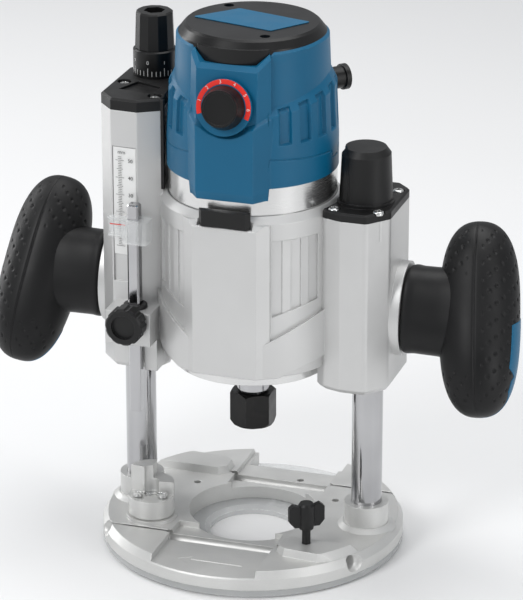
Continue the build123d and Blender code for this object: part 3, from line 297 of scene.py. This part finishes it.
bronze_metal = finish("bronze_metal", (0.62, 0.4, 0.18), (0.5, 0.3, 0.12), (0.25, 0.38), 0.4, 0.004,
                      8, Metallic=1.0)
spring_metal = finish("spring_metal", (0.3, 0.3, 0.31), (0.2, 0.2, 0.21), (0.2, 0.32), 0.3, 0.004,
                      9, Metallic=1.0)
bearing_metal = finish("bearing_metal", (0.72, 0.72, 0.73), (0.62, 0.62, 0.63), (0.12, 0.22), 0.4,
                       0.002, 12, marks=(0.1, ALONG_Z, 0.001), Metallic=1.0)
bright_collet = finish("bright_collet", (0.7, 0.7, 0.71), (0.58, 0.58, 0.6), (0.16, 0.28), 0.4,
                       0.003, 10, marks=(0.15, ALONG_Z, 0.002), Metallic=1.0)
copper_wire = finish("copper_wire", (0.72, 0.27, 0.12), (0.5, 0.16, 0.07), (0.22, 0.36), 0.6, 0.02,
                     6, Metallic=1.0)
carbon_block = finish("carbon_block", (0.03, 0.03, 0.032), (0.015, 0.015, 0.016), (0.5, 0.65), 0.2,
                      0.01, 5)
board_green = finish("board_green", (0.01, 0.09, 0.035), (0.006, 0.06, 0.025), (0.3, 0.42), 0.4,
                     0.01, 8)
fan_grey = finish("fan_grey", (0.09, 0.09, 0.095), (0.06, 0.06, 0.065), (0.36, 0.48), 0.3, 0.01, 12)


SHEET_MM = 0.5       # thickness of a steel sheet
SHEET_GAP = 0.16     # share of it that the dark line takes


def make_laminations():
    """Stacked steel sheets: thin dark lines at every half millimetre of height."""
    material, tree, shader = bare_material("stacked_steel", Metallic=0.9)
    split = tree.nodes.new("ShaderNodeSeparateXYZ")
    feed(tree, split.inputs[0], place(tree))
    phase = maths(tree, "FRACT", maths(tree, "MULTIPLY", split.outputs["Z"], MM_PER_M / SHEET_MM))
    line = maths(tree, "LESS_THAN", phase, SHEET_GAP)
    grain = use(tree, GRAIN, Grain_mm=0.5, Patch_mm=10.0)
    steel = blend_colours(tree, grain["Patches"], (0.3, 0.3, 0.31), (0.42, 0.42, 0.43))
    feed(tree, shader.inputs["Base Color"], blend_colours(tree, line, steel, (0.06, 0.06, 0.065)))
    feed(tree, shader.inputs["Roughness"], spread(tree, grain["Grain"], 0.3, 0.7, 0.3, 0.45))
    feed(tree, shader.inputs["Normal"], bump(tree, maths(tree, "SUBTRACT", 1.0, line), 0.05))
    return material


def make_clear(name, thickness):
    """Clear moulding: mostly see-through, with fine scratches in the gloss and whiter edges."""
    material, tree, shader = bare_material(name, Metallic=0.0, IOR=1.49)
    grain = use(tree, GRAIN, Grain_mm=1.5, Patch_mm=20.0)
    edges = use(tree, EDGES, Radius_mm=0.8, Gain=5.0)
    feed(tree, shader.inputs["Base Color"],
         blend_colours(tree, grain["Patches"], (0.82, 0.84, 0.84), (0.9, 0.91, 0.91)))
    scratches = noise(tree, along(tree, place(tree), (900.0, 60.0, 900.0)), 1.0, 4.0, 0.7)
    feed(tree, shader.inputs["Roughness"], spread(tree, scratches, 0.45, 0.8, 0.05, 0.2))
    whiter = maths(tree, "MULTIPLY", edges["Wear"], 0.4)
    feed(tree, shader.inputs["Alpha"], maths(tree, "ADD", whiter, thickness, clamp=True))
    feed(tree, shader.inputs["Normal"], bump(tree, grain["Height"], 0.01, edges["Normal"]))
    return material


stacked_steel = make_laminations()
clear_sole, clear_cursor = make_clear("clear_sole", 0.42), make_clear("clear_cursor", 0.28)


def coat(material, *names):
    """Puts a finish on CAD nodes, in their objects' own slots."""
    for name in names:
        piece = NODES[name]
        for index in range(max(1, len(piece.material_slots))):
            if index >= len(piece.material_slots):
                piece.data.materials.append(material)
            piece.material_slots[index].link = "OBJECT"
            piece.material_slots[index].material = material


coat(silver_coat, "plunge_housing", "right_handle", "left_handle")
coat(cast_metal, "base_casting", "turret")
coat(ground_steel, "left_column", "right_column", "stop_rod", "spindle")
coat(zinc_screw, "sole_plate_screws", "column_bolts", "left_cap_screws", "right_cap_screws",
     "turret_adjusting_screws", "turret_pivot_screw", "handle_bolts", "motor_clamp_bolt",
     "fine_adjust_screw")
coat(turned_ring, "motor_barrel")
coat(oxide_steel, "collet_nut")
coat(black_moulding, "left_tower_cap", "right_tower_cap", "wing_screw", "clamp_knob", "fine_adjust_knob",
     "plunge_lock_lever", "motor_clamp_lever", "front_latch", "trigger", "lock_button", "bearing_cover",
     "upper_bearing_seat", "cord_gland", "brush_holders", "rod_seal_ring")
coat(black_gloss, "top_cap", "speed_dial", "fine_adjust_scale")
coat(blue_moulding, "motor_cover", "right_rear_shell", "left_rear_shell", "cap_label", "top_screws",
     "dial_bezel")
coat(white_print, "depth_scale")
coat(bronze_metal, "column_bushings")
coat(spring_metal, "plunge_springs")
coat(bearing_metal, "lower_bearing", "upper_bearing")
coat(bright_collet, "collet", "commutator")
coat(copper_wire, "field_windings", "armature_windings")
coat(carbon_block, "carbon_brushes")
coat(board_green, "speed_control_board")
coat(fan_grey, "cooling_fan")
coat(stacked_steel, "stator_core", "armature_core")
coat(clear_sole, "sole_plate")
coat(clear_cursor, "depth_cursor")


# ------------------------------------------------------------------ surfaces

def build(name, points, faces, material, body, replaces=(), crease=35.0):
    """A mesh piece from points in mm and a list of faces, smooth except over creases."""
    mesh = bpy.data.meshes.new(name)
    mesh.from_pydata((np.asarray(points, float).reshape(-1, 3) * MM).tolist(), [], faces)
    mesh.validate()
    mesh.shade_smooth()
    mesh.set_sharp_from_angle(angle=math.radians(crease))
    mesh.materials.append(material)
    piece = bpy.data.objects.new(name, mesh)
    SCENE.collection.objects.link(piece)
    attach(piece, body)
    if replaces:
        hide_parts(*replaces)
    return piece


def grid_faces(rows, columns, flip=False):
    """Quads over a grid of points whose rows each close into a ring."""
    r = np.arange(rows - 1)[:, None] * columns
    c = np.arange(columns)[None, :]
    n = (c + 1) % columns
    quads = np.stack([r + c, r + n, r + columns + n, r + columns + c], -1).reshape(-1, 4)
    return (quads[:, ::-1] if flip else quads).tolist()


def capped(points, flip=False):
    """Faces for a tube of rings with a flat cap at each end."""
    rows, columns = points.shape[:2]
    ends = [list(range(columns))[::-1], list(range((rows - 1) * columns, rows * columns))]
    if flip:
        ends = [end[::-1] for end in ends]
    return grid_faces(rows, columns, flip=flip) + ends


GRIP_FOOT, GRIP_HEAD = np.array([140.0, -16.0, 105.0]), np.array([127.0, 31.0, 195.0])
GRIP_LENGTH = float(np.linalg.norm(GRIP_HEAD - GRIP_FOOT))
GRIP_ALONG = (GRIP_HEAD - GRIP_FOOT) / GRIP_LENGTH
GRIP_OUT = np.array([1.0, 0, 0]) - GRIP_ALONG * GRIP_ALONG[0]
GRIP_OUT /= np.linalg.norm(GRIP_OUT)
GRIP_BACK = np.cross(GRIP_ALONG, GRIP_OUT)


GRIP_R = 23.2          # widest radius, mm
SEAM_ANGLE = -1.5      # radians round the grip to the line where its halves meet
PIT_ACROSS, PIT_ALONG, PIT_STEP = 4.3, 9.7, 3.3    # lattice of pits: columns apart, rows apart, slant
PIT_R, PIT_DEPTH = 1.25, 0.75


def grip_radius(t):
    """Radius along the grip: 23.2 mm times (1 - |2s - 1| cubed) to the 0.4, s running 0 to 1
    over the grip and a little past each end; the foot is a shade slimmer than the head."""
    s = np.clip((t + 0.05) / 1.1, 0, 1)
    return GRIP_R * (1 - np.abs(2 * s - 1) ** 3) ** 0.4 * (0.965 + 0.035 * np.clip(2.2 * t, 0, 1))


def grip_point(t, angle, lift=0.0):
    """A point on the grip: t along it, an angle round it from outward to rearward, and a
    lift off the surface in mm."""
    r = grip_radius(t)
    out = r + lift * np.minimum(1.0, r / 6.0)
    return (GRIP_FOOT + np.multiply.outer(t * GRIP_LENGTH, GRIP_ALONG)
            + (out * np.cos(angle))[..., None] * GRIP_OUT
            + (out * 1.02 * np.sin(angle))[..., None] * GRIP_BACK)


def dimples(along, around):
    """Depth in mm of round pits on a slanting lattice over two lengths in mm."""
    column = np.round(around / PIT_ACROSS)
    across = around - PIT_ACROSS * column
    down = along - PIT_STEP * column
    down -= PIT_ALONG * np.round(down / PIT_ALONG)
    reach = np.sqrt(across ** 2 + down ** 2) / PIT_R
    return PIT_DEPTH * np.clip(1 - reach ** 2, 0, 1)


def make_grip(name, side, material):
    """The grip: a closed oval bar whose radius is lowered by dimples, by a groove along the
    seam between its halves."""
    rows, columns = 236, 264
    s = (1 - np.cos(np.pi * np.linspace(0.012, 0.988, rows))) / 2
    t = (s * 1.1 - 0.05)[:, None] * np.ones((1, columns))
    angle = np.linspace(-np.pi, np.pi, columns, endpoint=False)[None, :] * np.ones((rows, 1))
    around = (angle - SEAM_ANGLE) * 22.5
    pits = dimples(t * GRIP_LENGTH, around)
    clear = (np.abs(around) > 4.6) & (t > 0.03) & (t < 0.985)
    front = (angle > SEAM_ANGLE) & (angle < 0.15)
    inner = (angle < SEAM_ANGLE) & (angle > -2.9) & ((t > 0.72) | (t < 0.2))
    lift = -pits * (clear & (front | inner))
    lift -= 0.55 * np.exp(-(around / 0.55) ** 2)
    points = grip_point(t, angle, lift)
    points[..., 0] *= side
    return build(name, points, capped(points, flip=side > 0), material, "carriage",
                 ("right_handle" if side > 0 else "left_handle",), 60)


NECK_START, NECK_LONG = 91.2, 38    # from the flange outwards, mm
NECK_SQUARE = 2.8                   # power of the section's oval: 2 is a plain oval


def make_neck(name, side, material):
    """The neck: a rounded four-sided section (an oval of power 2.8) carried from the flange
    into the grip, turning and growing on the way, with a rolled rim at the flange."""
    rows, columns = 60, 160
    v = np.linspace(0, 1, rows)[:, None]
    turn = np.linspace(0, 2 * np.pi, columns, endpoint=False)[None, :]
    x = NECK_START + NECK_LONG * v + 0 * turn
    rim = np.sqrt(np.clip(1 - np.clip(1 - v * NECK_LONG / 2.4, 0, 1) ** 2, 0, 1))
    swell = 1 + 0.02 * np.exp(-((v * NECK_LONG - 3) / 2.5) ** 2)
    half_y = (18.6 + 1.5 * v + 3.0 * np.clip(v - 0.55, 0, 1) ** 2 * 4 - 2.2 * (1 - rim)) * swell
    half_z = (25.0 + 1.0 * v + 5.0 * np.clip(v - 0.5, 0, 1) ** 2 * 4 - 2.2 * (1 - rim)) * swell
    power = 2 / NECK_SQUARE
    a = half_y * np.sign(np.cos(turn)) * np.abs(np.cos(turn)) ** power
    b = half_z * np.sign(np.sin(turn)) * np.abs(np.sin(turn)) ** power
    lean = np.radians(14 + 10 * v)
    y = 7.0 + 3 * v + a * np.cos(lean) + b * np.sin(lean)
    z = 152.0 - v - a * np.sin(lean) + b * np.cos(lean)
    points = np.stack([side * x, y, z], -1)
    return build(name, points, capped(points, flip=side < 0), material, "carriage", (), 50)


SHELL_PROUD, SHELL_THICK = 0.35, 1.3


def make_rear_shell(name, side, front_edge, back_edge, material):
    """The hard shell let into the back of the grip: a sheet from front_edge to back_edge round
    the grip (degrees against t), 0.35 mm proud with rolled edges, 1.3 mm thick."""
    rows, half = 200, 60
    s = (1 - np.cos(np.pi * np.linspace(0.015, 0.985, rows))) / 2
    t = (s * 1.1 - 0.05)[:, None] * np.ones((1, 2 * half))
    low = np.radians(np.interp(t[:, :1], *zip(*front_edge)))
    high = np.radians(np.interp(t[:, :1], *zip(*back_edge)))
    u = (1 - np.cos(np.pi * np.linspace(0, 1, half))) / 2
    across = np.concatenate([u, u[::-1]])[None, :]
    angle = low + (high - low) * across
    edge = np.minimum(across, 1 - across) * (high - low) * 22
    proud = SHELL_PROUD * np.sqrt(np.clip(1 - np.clip(1 - edge / 0.9, 0, 1) ** 2, 0, 1))
    inner = np.concatenate([np.zeros(half), np.ones(half)])[None, :]
    lift = np.where(inner > 0, -SHELL_THICK, proud - 0.25 * (edge < 0.001))
    points = grip_point(t, angle, lift)
    points[..., 0] *= side
    return build(name, points, capped(points, flip=side > 0), material, "carriage",
                 ("right_rear_shell" if side > 0 else "left_rear_shell",), 45)


make_grip("right_grip", 1, grip_rubber)
make_grip("left_grip", -1, grip_rubber)
make_neck("right_neck", 1, grip_rubber)
make_neck("left_neck", -1, grip_rubber)
make_rear_shell("right_shell", 1,
                ((-0.05, 12), (0.04, 6), (0.09, -12), (0.15, -12), (0.175, -5), (0.215, -25),
                 (0.455, -25), (0.52, 22), (1.05, 28)),
                ((-0.05, 125), (1.05, 125)), blue_moulding)
make_rear_shell("left_shell", -1, ((-0.05, 8), (1.05, 18)),
                ((-0.05, 172), (0.16, 168), (0.24, 128), (1.05, 125)), blue_moulding)


FLUTE_FIRST, FLUTE_STEP, FLUTE_HALF = 40.2, 15.7, 4.6    # degrees round the cover
FLUTE_DEEP = 2.3
PANEL_OUT = 52.5        # the front panel's distance from the axis
PANEL_TURN = 31         # degrees each side that the panel and its facets reach
LIP_TURN = 28.6         # degrees each side of the lower lip under the panel
LIP_LOW, COVER_LOW, SKIRT_TOP = 227.0, 234.05, 234.2
COVER_R = 49.1          # turned body below the band
INNER_R, SKIRT_R = 42.6, 48.6
DIAL_Z, DIAL_CLEAR = 282, 17.9      # the ledge dips round the dial by this radius
SEAM_DEEP, SEAM_HALF = 0.6, 0.38
RIM_BEVEL = 2.6


def flutes(turn, z, top):
    """1 inside the upright flutes round the cover, 0 outside: six a side, from a ledge at
    259 mm up to the sloping band."""
    side = np.abs(np.degrees(turn))
    number = np.clip(np.round((side - FLUTE_FIRST) / FLUTE_STEP), 0, 5)
    off = np.abs(side - FLUTE_FIRST - FLUTE_STEP * number)
    return (np.clip((FLUTE_HALF - off) / 0.9, 0, 1) * np.clip((z - 258.6) / 0.7, 0, 1)
            * np.clip((top + 3.0 - z) / 1.0, 0, 1))


def seam_height(side):
    """Height of the line where the cover's halves meet: it falls 4 mm towards the side and
    drops 4 mm more over a short step near 90 degrees."""
    return (251 - 4 * np.clip((side - 28) / 62, 0, 1) - 4 * np.clip((side - 83) / 1.5, 0, 1)
            + 4 * np.clip((side - 95) / 1.5, 0, 1))


def make_motor_cover(material):
    """The blue cover as a radius over angle and height. A turned body that narrows upwards;
    above a band that climbs round each side it steps in; flutes are sunk below the band; a
    three-sided panel stands out in front up to a ledge that dips round the dial."""
    fine, coarse = 380, 70
    turn = np.concatenate([np.linspace(-122, 122, fine), np.linspace(122, 238, coarse + 2)[1:-1]])
    rows = 214
    v = np.linspace(0, 1, rows)[:, None]
    turn = np.radians(turn)[None, :]
    turn = np.where(turn > np.pi, turn - 2 * np.pi, turn)
    side = np.abs(np.degrees(turn))
    facet = 44.83 * 11.8 / np.maximum(9.5 * np.abs(np.sin(turn)) + 7 * np.cos(turn), 0.5)
    width = np.abs(np.sin(turn)) * 50
    ahead = np.cos(turn) > 0
    bottom = np.where(ahead & (side < LIP_TURN), LIP_LOW, COVER_LOW)
    rise = np.clip((width - 17.5) / 10.5, 0, 1)
    top = np.where(ahead, 304.6 + 8.2 * rise + 0.8 * np.clip((side - 38) / 40, 0, 1), 313.6)
    z = bottom + (top - bottom) * v
    band = 275.5 + 8 * np.clip((side - 30) / 62, 0, 1)
    band_width = 3.6 + 3.6 * np.clip((side - 30) / 62, 0, 1)
    upper = np.clip((z - band) / band_width, 0, 1)
    body = COVER_R - 1.2 * np.clip((z - 252) / 26, 0, 1)
    body = body - 3.6 * upper - 1.0 * np.clip((z - band - band_width) / 24, 0, 1)
    body = body - FLUTE_DEEP * flutes(turn, z, band)
    dial_dip = DIAL_Z - np.sqrt(np.clip(DIAL_CLEAR ** 2 - width ** 2, 0, None))
    ledge = np.where(width < 12.5, dial_dip, 269.2 + 0.42 * (width - 12.5))
    lean = 0.06 * np.clip(z - ledge, 0, 60)
    recess = 4.2 * np.clip((z - ledge) / 1.8, 0, 1) + lean
    foot = 1.4 * np.clip((232 - z) / 5, 0, 1)
    chest = np.minimum((PANEL_OUT - recess - foot) / np.maximum(np.cos(turn), 0.2),
                       facet * (1 - (0.55 * recess + foot) / PANEL_OUT))
    radius = np.where(ahead & (side < PANEL_TURN), np.maximum(body, chest), body)
    radius = np.where(side < PANEL_TURN, np.maximum(radius, 48.9 * (z < SKIRT_TOP)), radius)
    seam = seam_height(side)
    radius = radius - SEAM_DEEP * np.exp(-((z - seam) / SEAM_HALF) ** 2) * (side > LIP_TURN)
    radius = radius - 2.4 * np.clip(1 - (top - z) / RIM_BEVEL, 0, 1)
    outer = np.stack([radius * np.sin(turn), -radius * np.cos(turn), z + 0 * turn], -1)
    level = np.ones(turn.shape[1])
    ring = [(np.minimum(radius[-1] - 0.5, 42.9), top[0] - 0.1), (INNER_R * level, top[0] - 4.0),
            (INNER_R * level, 240.0 * level), (INNER_R * level, 234.3 * level),
            (SKIRT_R * level, SKIRT_TOP * level), (SKIRT_R * level, bottom[0])]
    inner = [np.stack([r * np.sin(turn[0]), -r * np.cos(turn[0]), h], -1) for r, h in ring]
    points = np.concatenate([outer, np.array(inner)])
    count, columns = points.shape[:2]
    faces = grid_faces(count, columns)
    last = (count - 1) * columns
    c = np.arange(columns)
    n = (c + 1) % columns
    faces += np.stack([last + c, last + n, n, c], -1).tolist()
    return build("motor_shell", points, faces, material, "motor", ("motor_cover",), 24)


make_motor_cover(blue_moulding)


# ------------------------------------------------------------------ printed marks

def lettering(name, words, spots, size, material, body):
    """Flat figures, each set in its own plane: spots are (origin, right, up) in mm; the
    figures are extruded 0.06 mm and joined into one piece."""
    points, faces = [], []
    for word, (origin, right, up) in zip(words, spots):
        curve = bpy.data.curves.new("figure", "FONT")
        curve.body, curve.size, curve.extrude = word, size, 0.03
        curve.align_x, curve.align_y, curve.resolution_u = "CENTER", "CENTER", 3
        holder = bpy.data.objects.new("figure", curve)
        SCENE.collection.objects.link(holder)
        bpy.context.view_layer.update()
        mesh = bpy.data.meshes.new_from_object(holder.evaluated_get(bpy.context.evaluated_depsgraph_get()))
        flat = np.empty(len(mesh.vertices) * 3)
        mesh.vertices.foreach_get("co", flat)
        flat = flat.reshape(-1, 3)
        right, up = np.array(right, float), np.array(up, float)
        right, up = right / np.linalg.norm(right), up / np.linalg.norm(up)
        placed = (np.array(origin) + flat[:, :1] * right + flat[:, 1:2] * up
                  + flat[:, 2:] * np.cross(right, up))
        faces += [[i + len(points) for i in face.vertices] for face in mesh.polygons]
        points += placed.tolist()
        bpy.data.objects.remove(holder)
        bpy.data.curves.remove(curve)
        bpy.data.meshes.remove(mesh)
    return build(name, points, faces, material, body, (), 30)


def bars(name, spots, material, body):
    """Thin printed bars: each a flat box given by (centre, half right, half up, half thick)."""
    signs = np.array([(-1, -1, -1), (1, -1, -1), (1, 1, -1), (-1, 1, -1),
                      (-1, -1, 1), (1, -1, 1), (1, 1, 1), (-1, 1, 1)], float)
    sides = np.array([(0, 3, 2, 1), (4, 5, 6, 7), (0, 1, 5, 4), (1, 2, 6, 5), (2, 3, 7, 6), (3, 0, 4, 7)])
    spots = np.array(spots, float)
    points = spots[:, None, 0] + np.einsum("kc,ncd->nkd", signs, spots[:, 1:4])
    faces = (sides[None] + 8 * np.arange(len(spots))[:, None, None]).reshape(-1, 4)
    return build(name, points, faces.tolist(), material, body, (), 30)


ink_black = finish("ink_black", (0.03, 0.03, 0.03), (0.02, 0.02, 0.02), (0.4, 0.5), 0.3, 0.001)
ink_white = finish("ink_white", (0.85, 0.85, 0.84), (0.78, 0.78, 0.77), (0.35, 0.45), 0.3, 0.001)
ink_red = finish("ink_red", (0.85, 0.025, 0.012), (0.75, 0.02, 0.01), (0.3, 0.42), 0.3, 0.002)

# depth scale on the left tower's front facet
FACET_TURN = math.radians(-3.6)
FACET_RIGHT = np.array([math.cos(FACET_TURN), math.sin(FACET_TURN), 0])
FACET_OUT = np.array([math.sin(FACET_TURN), -math.cos(FACET_TURN), 0])
FACET_AT = np.array([-68.75, -25.9, 0]) + 0.40 * FACET_OUT


SCALE_ZERO, SCALE_STEP = 183.5, 1.038    # height of the scale's 0 and of one printed millimetre


def on_scale(across, height, lift=0.02):
    """A point on the scale: across it, up to a height, and a lift off it, all in mm."""
    return FACET_AT + across * FACET_RIGHT + lift * FACET_OUT + np.array([0, 0, height])


def make_scale_marks():
    """Ticks every millimetre, longer at fives and tens, with the tens in figures."""
    ticks = []
    for n in range(0, 53):
        length = 2.6 if n % 10 == 0 else 1.9 if n % 5 == 0 else 1.1
        ticks.append((on_scale(-2.6, SCALE_ZERO + n * SCALE_STEP), length * FACET_RIGHT,
                      np.array([0, 0, 0.11]), 0.02 * FACET_OUT))
    bars("depth_ticks", ticks, ink_black, "carriage")
    words = ["0", "10", "20", "30", "40", "50", "mm"]
    spots = [(on_scale(3.9, SCALE_ZERO + n * 10 * SCALE_STEP), FACET_RIGHT, (0, 0, 1)) for n in range(6)]
    spots.append((on_scale(-1.5, 240.3), FACET_RIGHT, (0, 0, 1)))
    lettering("depth_figures", words, spots, 3.1, ink_black, "carriage")


def make_cursor_line():
    """Red line across the clear cursor."""
    bars("cursor_line", [((-71.6, -30.66, 198.0), (4.6, 0, 0), (0, 0, 0.3), (0, -0.03, 0))], ink_red,
         "depth_cursor")


# dial scale
TILT = math.radians(12)
DIAL_OUT = np.array([0, -math.cos(TILT), math.sin(TILT)])
DIAL_UP = np.array([0, math.sin(TILT), math.cos(TILT)])
DIAL_AT = np.array([0, -50.8, 282.0])


def on_dial(turn, r, lift):
    """A point on the dial's plane: turn in degrees clockwise from the top, r and lift in mm."""
    a = np.radians(np.asarray(turn, float))
    return (DIAL_AT + np.multiply.outer(r * np.sin(a), np.array([1.0, 0, 0]))
            + np.multiply.outer(r * np.cos(a), DIAL_UP) + lift * DIAL_OUT)


def make_dial_marks():
    """A red arc round the dial from low left over the top to low right, with 1 to 6 on it."""
    turn = np.linspace(-108, 112, 90)
    profile = [(13.1, 1.7), (13.1, 1.92), (15.9, 1.92), (15.9, 1.7)]
    points = np.stack([on_dial(turn, r, h) for r, h in profile], 1)
    build("dial_arc", points, capped(points), ink_red, "motor", (), 30)
    turns = np.linspace(-78, 90, 6)
    spots = [(on_dial(a, 14.5, 1.95),
              (math.cos(math.radians(a)), *(-math.sin(math.radians(a)) * DIAL_UP[1:])),
              tuple(on_dial(a, 1.0, 0) - DIAL_AT)) for a in turns]
    lettering("dial_figures", list("123456"), spots, 2.9, ink_white, "motor")


RING_X, RING_Y, RING_MARK_R = -68, 26, 12.62
RING_MARKS = 32


def make_ring_marks():
    """White ticks and figures round the fine-adjustment ring."""
    ticks, spots, words = [], [], []
    for n in range(RING_MARKS):
        a = math.radians(n * 360 / RING_MARKS)
        out = np.array([math.sin(a), -math.cos(a), 0])
        right = np.array([math.cos(a), math.sin(a), 0])
        tall = 2.4 if n % 4 == 0 else 1.5
        ticks.append((np.array([RING_X, RING_Y, 273.6 + tall]) + RING_MARK_R * out, 0.16 * right,
                      np.array([0, 0, tall]), 0.03 * out))
        if n % 4 == 0:
            spots.append((np.array([RING_X, RING_Y, 281.6]) + (RING_MARK_R + 0.02) * out, right,
                          (0, 0, 1)))
            words.append(str(n // 4))
    bars("ring_ticks", ticks, ink_white, "fine_adjuster")
    lettering("ring_figures", words, spots, 3.0, ink_white, "fine_adjuster")


make_scale_marks()
make_cursor_line()
make_dial_marks()
make_ring_marks()


# ------------------------------------------------------------------ floor, lights, camera

def make_floor():
    """A wide pale sheet at the height of the lowest point."""
    low = CAD_BOX[0][2]
    half = 9.0
    mesh = bpy.data.meshes.new("floor")
    mesh.from_pydata([(-half, -half, low), (half, -half, low), (half, half, low), (-half, half, low)], [],
                     [(0, 1, 2, 3)])
    floor = bpy.data.objects.new("floor", mesh)
    SCENE.collection.objects.link(floor)
    material, tree, shader = bare_material("pale_floor", Roughness=0.6)
    shade = noise(tree, place(tree), 3.0, 2.0)
    feed(tree, shader.inputs["Base Color"],
         blend_colours(tree, shade, (0.8, 0.8, 0.8), (0.83, 0.83, 0.83)))
    mesh.materials.append(material)


def soft_light(name, position, target, size, power):
    """A large rectangular lamp aimed at a point; sizes in metres."""
    lamp = bpy.data.lights.new(name, "AREA")
    lamp.shape, lamp.size, lamp.size_y = "RECTANGLE", size[0], size[1]
    lamp.energy = power
    lamp_object = bpy.data.objects.new(name, lamp)
    SCENE.collection.objects.link(lamp_object)
    lamp_object.location = position
    lamp_object.rotation_euler = (Vector(target) - Vector(position)).to_track_quat("-Z", "Y").to_euler()


def light_scene():
    """An even pale surround, with a key from the left front, a fill from the right,
    one overhead and a strip at the left for the bright lines on metal."""
    world = bpy.data.worlds.new("surround")
    world.use_nodes = True
    SCENE.world = world
    backdrop = world.node_tree.nodes["Background"]
    backdrop.inputs["Color"].default_value = (0.9, 0.92, 0.95, 1.0)
    backdrop.inputs["Strength"].default_value = 0.46
    middle = (0.0, 0.0, 0.15)
    soft_light("key", (-0.9, -1.5, 1.5), middle, (0.8, 0.8), 18.0)
    soft_light("fill", (1.5, -0.7, 0.6), middle, (0.4, 1.3), 7.0)
    soft_light("overhead", (0.1, 0.3, 1.7), middle, (1.6, 1.2), 17.0)
    soft_light("left_strip", (-1.3, 0.4, 0.6), middle, (0.3, 1.3), 7.0)


def place_camera():
    """A long lens, 2 m from the middle of the router, 17.9 degrees round to the right."""
    azimuth, elevation, distance = math.radians(17.9), math.radians(21.5), 2.0
    target = Vector((0.00466, 0.00151, 0.1486))
    back = Vector((math.sin(azimuth) * math.cos(elevation), -math.cos(azimuth) * math.cos(elevation),
                   math.sin(elevation)))
    lens = bpy.data.cameras.new("camera")
    lens.sensor_width, lens.lens = 36.0, 206.9
    camera = bpy.data.objects.new("camera", lens)
    SCENE.collection.objects.link(camera)
    camera.location = target + back * distance
    camera.rotation_euler = (-back).to_track_quat("-Z", "Y").to_euler()
    SCENE.camera = camera


make_floor()
light_scene()
place_camera()
SCENE.view_settings.view_transform = "Standard"
